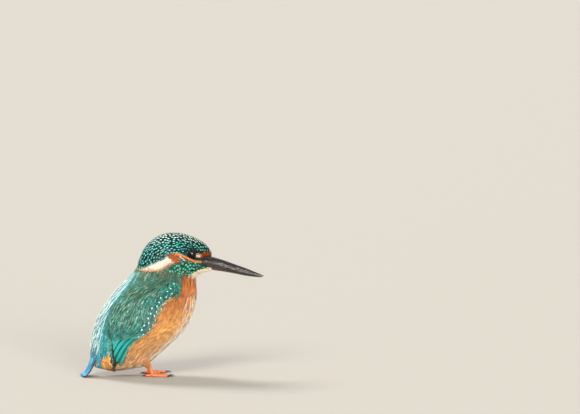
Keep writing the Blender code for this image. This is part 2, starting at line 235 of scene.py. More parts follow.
def through(stations, count):
    """count rows read from one smooth curve through the stations (Catmull-Rom cubics)."""
    p = np.asarray(stations, float)
    last = len(p) - 2
    p = np.vstack([2 * p[0] - p[1], p, 2 * p[-1] - p[-2]])
    t = np.linspace(0, last + 1, count)
    i = np.minimum(t.astype(int), last)
    f = (t - i)[:, None]
    a, b, c, d = p[i], p[i + 1], p[i + 2], p[i + 3]
    cubic = (3 * b - a - 3 * c + d) * f**3
    return 0.5 * (2 * b + (c - a) * f + (2 * a - 5 * b + 4 * c - d) * f**2 + cubic)


class Surface:
    """A sheet of points by rows and columns, read anywhere between them.

    s runs from 0 to 1 down the rows, a from 0 to 1 across the columns. A reading is the mean of the
    four nearest points, weighted by nearness. Past its first and last row the sheet goes on straight.
    Its table holds point, step down the rows, step across the columns and outward normal.
    """

    def __init__(self, points, wraps=False):
        """wraps joins the last column to the first."""
        rows, cols = points.shape[:2]
        self.wraps = wraps
        if wraps:
            points = np.concatenate([points[:, -1:], points, points[:, :2]], 1)
            da = (points[:, 2:] - points[:, :-2]) / 2 * cols
            points = points[:, 1:-1]
        else:
            da = np.gradient(points, axis=1) * (cols - 1)
        ds = np.gradient(points, axis=0) * (rows - 1)
        self.table = np.concatenate([points, ds, da, unit(np.cross(da, ds))], 2)

    def at(self, s, a):
        """Point, step down the rows, step across the columns, and outward normal at shares s and a."""
        rows, cols = self.table.shape[:2]
        within = np.clip(s, 0, 1)
        i = within * (rows - 1)
        j = (a % 1 if self.wraps else np.clip(a, 0, 1)) * (cols - 1)
        i0 = np.minimum(i.astype(int), rows - 2)
        j0 = np.minimum(j.astype(int), cols - 2)
        f = (i - i0)[..., None]
        g = (j - j0)[..., None]
        t = self.table
        near = t[i0, j0] * (1 - f) + t[i0 + 1, j0] * f
        far = t[i0, j0 + 1] * (1 - f) + t[i0 + 1, j0 + 1] * f
        point, ds, da, normal = np.split(near * (1 - g) + far * g, 4, axis=-1)
        return point + ds * (s - within)[..., None], ds, da, unit(normal)


def form_surface():
    """Each ring is an oval: its point at angle q is the chord's middle plus half the chord times cos q,
    and half width times sin q to the side, wider towards the back by the fullness. Swells are added
    along the normal as bells, height times exp(-(distance / reach) squared)."""
    rows = through(FORM, 321)
    q = np.linspace(0, 2 * np.pi, 240, endpoint=False)
    back, belly = rows[:, None, :2], rows[:, None, 2:4]
    plane = (back + belly) / 2 + (back - belly) / 2 * np.cos(q)[None, :, None]
    side = rows[:, 4:5] * np.sin(q) * (1 + rows[:, 5:6] * np.cos(q))
    points = np.stack([plane[..., 0], side, plane[..., 1]], -1)
    normal = Surface(points, True).table[:, :-1, 9:]
    for x, y, z, reach, height in SWELLS:
        away = np.stack([points[..., 0] - x, np.abs(points[..., 1]) - y, points[..., 2] - z], -1)
        points = points + normal * (height * np.exp(-(away**2).sum(-1) / reach**2))[..., None]
    return Surface(points, True)


def chord_of(stations, x, z):
    """For places in the side plane: the station row whose chord passes nearest, and the share of the way
    from that chord's second end to its first."""
    rows = through(stations, CHORD_ROWS)
    first, second = rows[:, None, :2], rows[:, None, 2:4]
    chord = first - second
    place = np.stack([np.ravel(x), np.ravel(z)], 1)[None]
    off = chord[..., 0] * (place - second)[..., 1] - chord[..., 1] * (place - second)[..., 0]
    ring = np.abs(off / np.linalg.norm(chord, axis=-1)).argmin(0)
    chord, second = chord[ring, 0], second[ring, 0]
    share = ((place[0] - second) * chord).sum(1) / (chord**2).sum(1)
    return rows[ring], ring / (CHORD_ROWS - 1), share


def half_width_at(x, z):
    """The form's half width at places in the side plane, from the ring whose chord passes there."""
    row, _, share = chord_of(FORM[NAPE:], x, z)
    c = np.clip(2 * share - 1, -0.999, 0.999)
    return (row[:, 4] * np.sqrt(1 - c * c) * (1 + row[:, 5] * c)).reshape(np.shape(x))


def wing_surface():
    """The left wing's outer face. Across, it runs straight from rear edge to front edge in the side plane.
    It stands off the body by its lift times 1 - (2u - 1)^4, u being the share across."""
    rows = through(WING, 161)
    u = np.linspace(-WING_MARGIN, 1 + WING_MARGIN, 81)
    rear, front = rows[:, None, :2], rows[:, None, 2:4]
    place = rear + (front - rear) * u[None, :, None]
    crown = np.clip(1 - (2 * u - 1) ** 4, -0.6, 1)
    y = half_width_at(place[..., 0], place[..., 1]) + WING_STAND + rows[:, 4:5] * crown
    least = WING_TIP_SPREAD + 0.2 * rows[:, 1:2] * (rows[:, 1:2] < 30)
    within = ((u >= -0.05) & (u <= 1.05))[None]
    y = np.where(within, np.maximum(y, least), y)
    return Surface(np.stack([place[..., 0], y, place[..., 1]], -1))


def tail_surface(face):
    """The tail's upper face (face 1) or under face (-1): an arched fan about its centre line. Across, t
    from -1 to 1, it sinks as t^2, and half its thickness lies between it and the middle sheet."""
    rows = through(TAIL, 61)
    way = unit(np.gradient(rows[:, :2], axis=0))
    up = np.stack([way[:, 1], -way[:, 0]], 1)
    t = np.linspace(-TAIL_MARGIN, TAIL_MARGIN, 41) * face
    out = -0.10 * rows[:, 2:3] * t**2 + face * rows[:, 3:4] / 2 * np.sqrt(np.clip(1 - 0.6 * t**4, 0.1, 1))
    x = rows[:, :1] + up[:, :1] * out
    z = rows[:, 1:2] + up[:, 1:] * out
    return Surface(np.stack([x, rows[:, 2:3] * t, z], -1))


# Meshes


def grid_quads(rows, cols, wraps):
    """Corner numbers of the quads between neighbouring rows and columns."""
    i = np.arange(rows - 1)[:, None]
    j = np.arange(cols if wraps else cols - 1)[None]
    n = (j + 1) % cols
    corners = (i * cols + j, i * cols + n, (i + 1) * cols + n, (i + 1) * cols + j)
    return np.stack(np.broadcast_arrays(*corners), -1).reshape(-1, 4)


def closed_loft(rings, colour):
    """A closed shape through equal rings of points, each end closed by a fan to its middle. colour has a
    row for each point of the rings."""
    rings = np.asarray(rings, float)
    rows, cols = rings.shape[:2]
    points = np.concatenate([rings.reshape(-1, 3), rings[:1].mean(1), rings[-1:].mean(1)])
    j = np.arange(cols)
    n, last = (j + 1) % cols, (rows - 1) * cols
    start = np.stack([np.full(cols, rows * cols), n, j], 1)
    end = np.stack([np.full(cols, rows * cols + 1), last + j, last + n], 1)
    colour = np.asarray(colour, float).reshape(rows, cols, 3)
    return turned_out({
        "points": points,
        "faces": [grid_quads(rows, cols, True), np.concatenate([start, end])],
        "tint": np.concatenate([colour.reshape(-1, 3), colour[:1].mean(1), colour[-1:].mean(1)]),
    })


def turned_out(shape):
    """The shape with its faces turned so that the volume they enclose is positive."""
    p, volume = shape["points"], 0.0
    for f in shape["faces"]:
        for k in range(1, f.shape[1] - 1):
            volume += (np.cross(p[f[:, 0]], p[f[:, k]]) * p[f[:, k + 1]]).sum()
    if volume < 0:
        shape["faces"] = [f[:, ::-1] for f in shape["faces"]]
    return shape


def mirrored(shape):
    """The same shape on the bird's other side."""
    other = dict(shape)
    other["points"] = shape["points"] * (1, -1, 1)
    other["faces"] = [f[:, ::-1] for f in shape["faces"]]
    return other


def joined(shapes):
    """Several shapes as one, their faces grouped by corner count."""
    whole = {}
    for key in shapes[0]:
        if key != "faces":
            whole[key] = np.concatenate([s[key] for s in shapes])
    starts = np.cumsum([0] + [len(s["points"]) for s in shapes])
    groups = {}
    for shape, start in zip(shapes, starts):
        for f in shape["faces"]:
            groups.setdefault(f.shape[1], []).append(f + start)
    whole["faces"] = [np.concatenate(g) for g in groups.values()]
    return whole


def piece(name, shape, material, slot, nodes=()):
    """Makes the shape an object that rides on the body and stands for the given nodes.

    tint and tip are colours by point (tip's alpha is its strength), blade holds the share along a
    feather, across it and a number of its own, and bake is the place on the bake map."""
    mesh = bpy.data.meshes.new(name)
    points, faces = placed(shape["points"]), shape["faces"]
    corners = np.concatenate([f.ravel() for f in faces]).astype(np.int32)
    sizes = np.concatenate([np.full(len(f), f.shape[1]) for f in faces])
    mesh.vertices.add(len(points))
    mesh.loops.add(len(corners))
    mesh.polygons.add(len(sizes))
    mesh.vertices.foreach_set("co", points.astype(np.float32).ravel())
    mesh.loops.foreach_set("vertex_index", corners)
    mesh.polygons.foreach_set("loop_start", np.concatenate([[0], np.cumsum(sizes)[:-1]]).astype(np.int32))
    mesh.update(calc_edges=True)
    for key, kind, field, width in (
        ("tint", "FLOAT_COLOR", "color", 4),
        ("tip", "FLOAT_COLOR", "color", 4),
        ("blade", "FLOAT_VECTOR", "vector", 3),
    ):
        if key in shape:
            value = shape[key]
            if value.shape[1] < width:
                value = np.concatenate([value, np.ones((len(value), 1))], 1)
            mesh.attributes.new(key, kind, "POINT").data.foreach_set(field, value.astype(np.float32).ravel())
    if "bake" in shape:
        place = mesh.uv_layers.new(name="OFBake")
        place.data.foreach_set("uv", shape["bake"][corners].astype(np.float32).ravel())
    mesh.polygons.foreach_set("use_smooth", np.ones(len(sizes), bool))
    mesh.materials.append(material)
    obj = bpy.data.objects.new(name, mesh)
    bpy.context.scene.collection.objects.link(obj)
    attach(obj, "root")
    if nodes:
        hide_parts(*nodes)
    return obj


# Feathers


def vane_template(along, across, tip_width, widest):
    """A blade: a grid arched over its flat under side. Its outline is the root of 4v(1 - v), v = t^widest,
    held at no less than tip_width at the tip. Rows crowd towards the tip, as 1 - (1 - n)^1.5."""
    t = 1 - (1 - np.linspace(0, 1, along)) ** 1.5
    v = (0.06 + 0.94 * t) ** widest
    outline = np.maximum(np.sqrt(np.clip(4 * v * (1 - v), 0, 1)), tip_width)
    w = np.linspace(-1, 1, across)
    i = np.arange(along - 1) * across
    under = np.stack([i, i + across, i + 2 * across - 1, i + across - 1], 1)
    start = np.arange(across)[None, ::-1]
    end = np.arange(across)[None] + (along - 1) * across
    return {
        "t": t,
        "row": np.repeat(np.arange(along), across),
        "w": np.tile(w, along),
        "outline": outline,
        "arch": np.tile(1 - w**2, along),
        "faces": [np.concatenate([grid_quads(along, across, False), under]), np.concatenate([start, end])],
    }


def tuft_template(ends):
    """A tuft of barbs: three-sided needles that fan out from one root as 0.35 + 0.65 t, a needle for
    each of the rows it may end in."""
    t = np.array([0.0, 0.45, 0.75, 0.88, 1.0])
    rows, places, arches, quads, triangles = [], [], [], [], []
    for n, (end, place) in enumerate(zip(ends, np.linspace(-0.86, 0.86, len(ends)))):
        ring = np.array([0, 0, 0, 1, 1, 1, end])
        half = np.array([-0.09, 0, 0.09, -0.1, 0, 0.1, 0])
        rows.append(ring)
        places.append(place * (0.35 + 0.65 * t[ring]) + half)
        arches.append([0, 1, 0, 0, 1, 0, 0.3])
        quads.append(grid_quads(2, 3, True) + 7 * n)
        triangles.append(np.array([[0, 2, 1], [3, 4, 6], [4, 5, 6], [5, 3, 6]]) + 7 * n)
    return {
        "t": t,
        "row": np.concatenate(rows),
        "w": np.concatenate(places),
        "outline": np.ones(len(t)),
        "arch": np.concatenate(arches),
        "faces": [np.concatenate(quads), np.concatenate(triangles)],
    }


SCALE = vane_template(6, 5, 0.5, 1.9)  # short rounded feather
ROUND = vane_template(7, 5, 0.45, 1.7)  # short feather that carries a spot
BLADE = vane_template(12, 7, 0.16, 1.5)  # long flight feather
TUFT = tuft_template([3, 4, 2, 4, 3])  # five barbs, the outer and middle ones shorter


def spread(sheet, template, root, length, width, lie, low, high, camber, bend=0.0, ragged=0.0, seed=0):
    """Feathers on a sheet, one row of points for each.

    A feather's middle line starts at root = (s, a) and walks down the sheet at the angle lie, turning by
    bend on its way, step by step, so it keeps its length on a curved form. Points stand out across it by
    width times outline times w, and above it by low + (high - low) t^0.8 + camber times arch. ragged moves
    them along it at random, most at the tip."""
    rng = np.random.default_rng(seed)
    s, a = np.array(root[0], float), np.array(root[1], float)
    count = len(s)
    length, width, lie, low, high, camber, bend = (
        np.broadcast_to(v, count).astype(float) for v in (length, width, lie, low, high, camber, bend)
    )
    steps = np.diff(template["t"], prepend=0.0)
    track_s, track_a, metric_s, metric_a, heading = [], [], [], [], []
    for k, step in enumerate(steps):
        _, ds, da, _ = sheet.at(s, a)
        ms, ma = np.linalg.norm(ds, axis=-1), np.maximum(np.linalg.norm(da, axis=-1), 1.0)
        angle = lie + bend * template["t"][k]
        s = s + step * length * np.cos(angle) / ms
        a = a + step * length * np.sin(angle) / ma
        for store, value in zip((track_s, track_a, metric_s, metric_a, heading), (s, a, ms, ma, angle)):
            store.append(value)
    row, w = template["row"], template["w"]
    s, a, ms, ma, angle = (np.stack(v, 1)[:, row] for v in (track_s, track_a, metric_s, metric_a, heading))
    t = template["t"][row]
    jag = ragged * rng.standard_normal((count, len(row))) * t**2 * length[:, None]
    across = w * template["outline"][row] * width[:, None]
    s = s + (jag * np.cos(angle) - across * np.sin(angle)) / ms
    a = a + (jag * np.sin(angle) + across * np.cos(angle)) / ma
    point, _, _, normal = sheet.at(s, a)
    height = low[:, None] + (high - low)[:, None] * t**0.8 + camber[:, None] * template["arch"]
    return point + normal * height[..., None]


def coat(sheet, template, root, tint, tip, seed, **sizes):
    """A joined coat of feathers with its colours and bake map. sizes are spread()'s. A feather's place on
    the bake map is its root's (s, a), the coat's own reach stretched over the whole map."""
    points = spread(sheet, template, root, seed=seed, **sizes)
    count, each = points.shape[:2]
    start = np.arange(count)[:, None, None] * each
    faces = [(f[None] + start).reshape(-1, f.shape[1]) for f in template["faces"]]
    own = np.random.default_rng(seed + 900).random(count)
    t, w = template["t"][template["row"]], template["w"]
    blade = np.stack(np.broadcast_arrays(t[None], w[None], own[:, None]), -1)
    place = np.stack(root, 1).astype(float)
    low, high = place.min(0), place.max(0)
    place = 0.01 + 0.98 * (place - low) / np.maximum(high - low, 1e-6)
    patch = np.stack([w * template["outline"][template["row"]] / 2, t - 0.5], 1) * BAKE_PATCH
    return {
        "points": points.reshape(-1, 3),
        "faces": faces,
        "tint": np.repeat(tint, each, 0),
        "tip": np.repeat(tip, each, 0),
        "blade": blade.reshape(-1, 3),
        "bake": (place[:, None] + patch[None]).reshape(-1, 2),
    }


def smooth_step(f):
    """0 to 1 with level ends: f^2 (3 - 2f)."""
    return f * f * (3 - 2 * f)


def clumps(s, a, strength, along=22, across=70, seed=3):
    """Factors that make feathers light and dark in clumps: 1 on average, read between the cells of a
    table of random numbers, along by across."""
    table = np.random.default_rng(seed).uniform(0.0, 2.0, (along + 2, across + 2))
    i, j = np.clip(s, 0, 0.999) * along, (a % 1) * across
    i0, j0 = i.astype(int), j.astype(int)
    f = smooth_step(i - i0)
    g = smooth_step(j - j0)
    near = table[i0, j0] * (1 - f) + table[i0 + 1, j0] * f
    value = near * (1 - g) + (table[i0, j0 + 1] * (1 - f) + table[i0 + 1, j0 + 1] * f) * g
    return 1 + strength * (value[:, None] - 1)


def scattered(sheet, spacing, keep, seed):
    """Roots spread evenly at random: darts thrown on the sheet, each kept where none kept lies nearer than
    the spacing there. spacing is in millimetres, one number or a function of places, and keep(p, s, a)
    says where this coat grows."""
    apart = spacing if callable(spacing) else lambda q: np.full(len(q), spacing)
    rng = np.random.default_rng(seed)
    grid = sheet.table[:-1, :-1]
    rows, cols = grid.shape[:2]
    area = np.linalg.norm(np.cross(grid[..., 3:6], grid[..., 6:9]), axis=-1) / (rows * cols)
    density = area.ravel() / apart(grid[..., :3].reshape(-1, 3)) ** 2
    share = np.cumsum(density) / density.sum()
    darts = int(DARTS_PER_ROOT * density.sum())
    pick = np.searchsorted(share, rng.random(darts)).clip(0, rows * cols - 1)
    s = (pick // cols + rng.random(darts)) / rows
    a = (pick % cols + rng.random(darts)) / cols
    p = sheet.at(s, a)[0]
    held = keep(p, s, a)
    s, a, p = s[held], a[held], p[held]
    near = apart(p)
    tree = KDTree(len(p))
    for n, place in enumerate(p):
        tree.insert(place, n)
    tree.balance()
    free = np.ones(len(p), bool)
    chosen = []
    for n in range(len(p)):
        if free[n]:
            chosen.append(n)
            free[[m for _, m, _ in tree.find_range(p[n], near[n])]] = False
    return s[chosen], a[chosen], p[chosen]


# Markings, with painted light and shade among them, in the side plane and the same on both sides


def soft(value, width=0.8):
    """0 where value is low, 1 where it is high, and a ramp of the given width about 0."""
    return np.clip(value / width + 0.5, 0, 1)


def inside(p, start, end, near, far, blur=0.6):
    """How far inside a tapering stroke from start to end a place lies: 0 out, 1 in, with a blur at the
    edge. near and far are its half widths at start and end."""
    start, end = np.array(start, float), np.array(end, float)
    place, run = p[:, [0, 2]] - start, end - start
    share = np.clip((place @ run) / (run @ run), 0, 1)
    away = np.linalg.norm(place - share[:, None] * run, axis=1)
    return soft(near + (far - near) * share - away, blur)


def line(value, points):
    """Height of a line through the points, read at value."""
    x, y = np.array(sorted(points)).T
    return np.interp(value, x, y)


# Edges of the markings: x, z for those that run along the head, z, x for those that run down the body
CROWN_REAR, CHEEK_REAR, AZURE_TOP = -30, -4.5, 75.5  # x, x, z where they end
CROWN_EDGE = [(-32, 73.6), (-24, 76.2), (-17.6, 79.2), (-12.6, 81.9), (-8.2, 83.2), (-6, 85.2), (-3, 84.5),
              (6, 82), (27, 82)]
WHITE_EDGE = [(-26, 75.6), (-20, 75.0), (-16, 75.3), (-10.7, 76.1), (-6.2, 78.4), (-1.2, 81.2)]
THROAT_TOP = [(7.5, 71.6), (11.5, 72.6), (16.9, 74.2), (21, 75.4), (24.5, 75.4), (28.3, 74.9)]
MALAR_TOP = [(-4.6, 77.2), (-1.5, 78.4), (1.5, 80.4), (4, 81.6), (7, 81.8), (10, 80.9), (14, 80.2),
             (19, 79.6)]
GREEN_FRONT = [(4, -45), (8, -43), (12.5, -37.5), (16, -34), (22, -33.3), (26, -30.7), (28.7, -26.0),
               (32.5, -21.0), (37.2, -17.6), (43.8, -14.2), (49.3, -10.6), (53.9, -7.6), (59.4, -4.8),
               (61.8, 4.3), (66.7, 4.6), (75, 4.6)]
AZURE_FRONT = [(4, -53), (14.7, -51.9), (26.4, -50.3), (35, -49.4), (44.6, -47.0), (53.2, -42.2), (60, -36.2),
               (68, -29.6), (76, -24.5)]
BILL_ABOVE = [(17.8, 80.4), (18.8, 81.9), (22, 82.3), (26, 82.9), (27.5, 83.4), (29, 84)]
BILL_BELOW = [(17.8, 80.2), (19.2, 78.6), (21, 77.2), (24, 76.0), (26.8, 74.8), (29, 74)]
UNDERTAIL_TOP = [(-56, 6), (-52.5, 11), (-50, 16), (-47.5, 18.5), (-45, 18), (-42, 15), (-38, 9)]
# GAP runs along the painted shadow behind the wing's rear edge
GAP = [(5, -41.0), (14, -43.4), (20, -44.8), (26, -46.0), (31, -46.8)]
HEAD_FOOT = [(-30, 73.4), (-24, 74.6), (-18, 74.4), (-12, 74.8), (-6, 75.8), (-1.6, 75.6), (2.9, 75.0),
             (5.2, 74.4), (8, 73.2), (12, 71.2), (16, 68.6), (20, 66)]
STROKES = [  # start x, z; end x, z; half widths; colour, tip colour, tip strength
    ((-3.2, 85.8), (1.9, 82.6), 1.9, 2.3, "ear", "ear_tip", 0.6),
    ((-0.6, 86.9), (5.0, 85.4), 0.9, 0.9, "ear_tip", "stripe", 0.3),
    ((5.0, 85.4), (9.0, 82.8), 0.8, 0.65, "stripe", "stripe", 0.0),
    ((9.0, 82.8), (13.5, 80.8), 0.65, 0.6, "stripe", "stripe", 0.0),
    ((13.5, 80.8), (18.4, 80.0), 0.6, 0.55, "stripe", "stripe", 0.0),
    ((20.2, 84.3), (25.2, 84.2), 2.0, 1.7, "lore_spot", "ear", 0.6),
    ((9.5, 83.9), (19.5, 82.0), 0.9, 0.9, "lore", "lore", 0.0),
    ((18.5, 82.2), (27.5, 83.2), 0.5, 0.5, "lore", "lore", 0.0),
    ((12.5, 87.9), (19.2, 86.6), 1.0, 0.6, "lore", "lore", 0.0),
    ((15.8, 84.7), (17.8, 84.1), 1.1, 1.2, "cream", "streak", 0.4),
    ((12.0, 86.2), (12.6, 86.2), 2.7, 2.7, "rim", "rim", 0.0),
]
EYE_STRIPE = [(19.2, 80.0), (16.4, 80.2), (13.4, 80.9), (10.6, 82.1), (8.2, 83.5), (5.4, 84.9), (2.6, 86.0),
              (-0.4, 86.7)]
EAR_STREAKS = [  # root and tip of each
    ((6.4, 82.2), (3.9, 83.7)),
    ((4.6, 83.4), (2.2, 85.1)),
    ((7.0, 81.4), (4.8, 82.3)),
]


def markings_and_painted_light(p, jitter=0.0):
    """Colour, tip colour and tip strength of the plumage at places p, each read up to about jitter away."""
    rng = np.random.default_rng(len(p))
    p = p + rng.standard_normal(p.shape) * jitter
    x, y, z = p[:, 0], np.abs(p[:, 1]), p[:, 2]
    tint, tip = alike(len(p), "belly", "fringe", 0.25)

    def some(share):
        """A random share of the feathers."""
        return rng.random(len(p)) < share

    def paint(mask, name, tip_name=None, strength=0.0):
        """Lays the colours over those below, as far as the mask says."""
        nonlocal tint, tip
        end = np.append(ink(tip_name or name), strength)
        tint = tint + (ink(name) - tint) * mask[:, None]
        tip = tip + (end - tip) * mask[:, None]

    # Breast, belly and vent
    paint(soft(z - 50, 26), "breast", "belly", 0.4)
    paint(soft(26 - z, 18), "vent", "fringe", 0.3)
    # Painted light on the underside near the middle: a pale glow, and pale barbs along it
    paint(soft(9 - y, 9) * soft(56 - z, 20) * soft(z - 8, 4), "glow", "fringe", 0.9)
    paint(soft(12 - y, 8) * soft(58 - z, 16) * soft(z - 8, 4) * some(0.2), "fringe", "fringe", 0.9)
    # Mantle, and the places beside the tail
    back = soft(line(z, GREEN_FRONT) - x, 1.0)
    paint(back, "mantle", "mantle_tip", 0.7)
    paint(back * soft(x + 12, 10) * soft(z - 57, 4), "shoulder", "mantle_tip", 0.6)
    for name, chance in (("moss", 0.3), ("silver", 0.10), ("dun", 0.08), ("wing", 0.12)):
        paint(back * some(chance) * 0.8, name, "mantle_tip", 0.5)
    paint(back * soft(3 - np.abs(x + 8), 6) * soft(z - 65, 6) * some(0.4), "dun", "dun", 0.5)
    beside_tail = back * soft(38 - z, 10) * soft(line(z, GAP) - x, 1)
    paint(beside_tail, "wing", "azure", 0.6)
    paint(beside_tail * some(0.4), "azure", "azure_tip", 0.3)
    # Painted shadow in the gap between the wing's rear edge and the rump
    shadow_in_gap = soft(1.1 + soft(11 - z, 4) - np.abs(x - line(z, GAP)), 0.4)
    paint(shadow_in_gap * soft(19 - z, 6) * soft(z - 6, 2) * soft(y - 5, 1), "gap")
    paint(soft(line(x, UNDERTAIL_TOP) - z, 1.5) * soft(line(z, GAP) - 0.6 - x, 0.8), "belly", "vent", 0.5)
    # Azure stripe down the back
    azure = soft(line(z, AZURE_FRONT) - x, 1.5) * soft(AZURE_TOP - z, 1)
    mixed = soft(line(z, AZURE_FRONT) + 3 - x, 6) * soft(AZURE_TOP - z, 1) * (z > 20)
    paint(mixed * some(0.4), "azure", "mantle_tip", 0.6)
    paint(azure, "azure", "azure_tip", 0.25)
    paint(azure * soft(24 - z, 12), "tail_tip", "azure", 0.6)
    # Painted highlight: near-white tips along the back's middle line
    paint(azure * soft(9 - y, 8) * some(0.15), "azure_tip", "azure_tip", 0.9)
    paint(azure * soft(z - 24, 8) * some(0.3), "wing", "azure", 0.5)
    # Head: nape, cheek, throat, white patch, crown
    head = soft(z - line(x, HEAD_FOOT), 0.8)
    paint(head * soft(9 - x, 2), "shoulder", "mantle_tip", 0.3)
    paint(head * soft(9 - x, 2) * some(0.4), "dun", "dun", 0.3)
    paint(head * soft(x - CHEEK_REAR, 1.5), "malar", "malar_tip", 0.9)
    paint(head * soft(x - 8, 2) * soft(line(x, THROAT_TOP) - z, 0.7), "throat")
    white = soft(z - line(x, WHITE_EDGE), 0.8) * soft(-0.6 - x, 1.0) * head * soft(y - 3, 2)
    paint(white, "white")
    paint(white * soft(line(x, WHITE_EDGE) + 1.3 - z, 1.4), "buff")
    crown = soft(z - line(x, CROWN_EDGE), 0.7) * (x > CROWN_REAR)
    paint(crown, "crown", "crown_tip", 1.0)
    behind_eye = crown * soft(88 - z, 8) * soft(x + 16, 8)
    tip[:, 3] = tip[:, 3] * (1 - 0.5 * behind_eye) * rng.uniform(0.55, 1, len(p))
    paint(crown * soft(x - 12, 10) * 0.8, "brow", "crown_tip", 0.85)
    # Painted highlight: near-white spots on the top of the crown, where light falls on it
    top = crown * soft(z - 96.5 + 0.35 * (x - 6).clip(0), 5)
    tip = tip + (np.append(ink("crown_top"), 1.0) - tip) * top[:, None]
    # Face
    for start, end, near, far, name, tip_name, strength in STROKES:
        paint(inside(p, start, end, near, far), name, tip_name, strength)
    return tint, tip


# Materials


def fed(made, sockets):
    """A node with its sockets set, each to a value, an output, or another node's first output."""
    for name, source in dict(sockets).items():
        if isinstance(source, bpy.types.Node):
            source = source.outputs[0]
        if isinstance(source, bpy.types.NodeSocket):
            made.id_data.links.new(source, made.inputs[name])
        else:
            made.inputs[name].default_value = source
    return made


def node(tree, kind, sockets=(), **settings):
    """Adds one shader node with its settings, and with its sockets fed."""
    made = tree.nodes.new("ShaderNode" + kind)
    for name, value in settings.items():
        setattr(made, name, value)
    return fed(made, sockets)


def finish_of(name, **values):
    """An empty material, its nodes and its shader, with the shader's own values set."""
    material = bpy.data.materials.new(name)
    material.use_nodes = True
    tree = material.node_tree
    shader = fed(tree.nodes["Principled BSDF"], {key.replace("_", " "): v for key, v in values.items()})
    return material, tree, shader


def feather_vane(name, tip_from, tip_to, dot, barb, rough, rim=-0.9, grain=0.16, root_shade=-1.2, **values):
    """Keratin barbs hooked into a vane: matt, finely striped across, paler or bluer towards the tip.

    The tip's colour starts at tip_from of the length and spreads over dot of the width. barb is how
    strongly the stripes show. On a short feather they are about 0.35 mm apart, coarser than real barbs, so
    that they do show. rim shades the vane's edges, root_shade its root, and grain is how far feathers
    differ from each other and over clouds about 3 mm wide."""
    material, tree, shader = finish_of(name, Roughness=rough, **values)
    tint = node(tree, "Attribute", attribute_name="tint")
    tip = node(tree, "Attribute", attribute_name="tip")
    blade = node(tree, "Attribute", attribute_name="blade")
    along, across, own = node(tree, "SeparateXYZ", {0: blade.outputs["Vector"]}).outputs
    side = node(tree, "Math", {0: across}, operation="ABSOLUTE")
    # Where the tip's colour shows
    reach = node(tree, "MapRange", {0: along, 1: tip_from, 2: tip_to}, interpolation_type="SMOOTHSTEP")
    round_off = node(tree, "MapRange", {0: side, 1: dot, 2: dot + 0.25, 3: 1.0, 4: 0.0},
                     interpolation_type="SMOOTHSTEP")
    ending = node(tree, "MapRange", {0: along, 1: 0.9, 2: 1.0, 3: 1.0, 4: 0.0 if dot < 0.8 else 1.0})
    mask = node(tree, "Math", {0: reach, 1: round_off}, operation="MULTIPLY")
    mask = node(tree, "Math", {0: mask, 1: ending}, operation="MULTIPLY")
    mask = node(tree, "Math", {0: mask, 1: tip.outputs["Alpha"]}, operation="MULTIPLY")
    mixed = node(tree, "Mix", {0: mask, 6: tint, 7: tip}, data_type="RGBA")
    # Slanting stripes of the barbs, and shade along the shaft, the edges and the root
    slant = node(tree, "Math", {0: side, 1: -0.4}, operation="MULTIPLY")
    slant = node(tree, "Math", {0: along, 1: slant}, operation="ADD")
    stripes = node(tree, "Math", {0: slant, 1: BARB_STRIPES}, operation="MULTIPLY")
    wave = node(tree, "Math", {0: stripes}, operation="SINE")
    shaft = node(tree, "MapRange", {0: side, 1: 0.0, 2: 0.16, 3: -0.5, 4: 0.0})
    edge = node(tree, "MapRange", {0: side, 1: 0.45, 2: 1.0, 3: 0.0, 4: rim})
    root = node(tree, "MapRange", {0: along, 1: 0.0, 2: 0.5, 3: root_shade, 4: 0.0})
    shade = node(tree, "Math", {0: wave, 1: barb, 2: shaft}, operation="MULTIPLY_ADD")
    shade = node(tree, "Math", {0: shade, 1: edge}, operation="ADD")
    shade = node(tree, "Math", {0: shade, 1: root}, operation="ADD")
    # Each feather a little lighter or darker than the next
    place = node(tree, "TexCoord").outputs["Object"]
    cloud = node(tree, "TexNoise", {0: place, "Scale": PLUMAGE_CLOUDS / MM, "Detail": 2.0})
    chance = node(tree, "Math", {0: own, 1: 0.5}, operation="SUBTRACT")
    cloudy = node(tree, "Math", {0: cloud, 1: 0.5}, operation="SUBTRACT")
    chance = node(tree, "Math", {0: cloudy, 1: chance}, operation="ADD")
    value = node(tree, "Math", {0: shade, 1: 0.22, 2: 1.0}, operation="MULTIPLY_ADD")
    value = node(tree, "Math", {0: chance, 1: 2 * grain, 2: value}, operation="MULTIPLY_ADD")
    hue = node(tree, "Math", {0: chance, 1: 0.03, 2: 0.5}, operation="MULTIPLY_ADD")
    colour = node(tree, "HueSaturation", {"Color": mixed.outputs[2], "Value": value, "Hue": hue})
    bump = node(tree, "Bump", {"Height": shade, "Strength": 0.4, "Distance": 0.05 * MM})
    fed(shader, {"Base Color": colour, "Normal": bump})
    return material


def horn(name, rough, streak, **values):
    """Keratin horn: hard, dark and polished. Its streaks along the growth are about 1 mm wide and 2 mm long,
    coarser than real ones, so that they break its lights. streak is how far they differ in tone."""
    material, tree, shader = finish_of(name, **values)
    tint = node(tree, "Attribute", attribute_name="tint")
    place = node(tree, "TexCoord").outputs["Object"]
    run = node(tree, "Mapping", {0: place, "Scale": (0.42, 1.0, 1.0)})
    grain = node(tree, "TexNoise", {0: run, "Scale": HORN_STREAKS / MM, "Detail": 3.0})
    dapple = node(tree, "TexNoise", {0: place, "Scale": HORN_DAPPLES / MM, "Detail": 3.0})
    value = node(tree, "MapRange", {0: grain, 1: 0.3, 2: 0.7, 3: 1 - streak, 4: 1 + streak})
    colour = node(tree, "HueSaturation", {"Color": tint, "Value": value})
    gloss = node(tree, "MapRange", {0: dapple, 1: 0.35, 2: 0.65, 3: rough - 0.08, 4: rough + 0.2})
    bump = node(tree, "Bump", {"Height": grain, "Strength": 1.0, "Distance": 0.6 * MM})
    fed(shader, {"Base Color": colour, "Roughness": gloss, "Normal": bump})
    return material


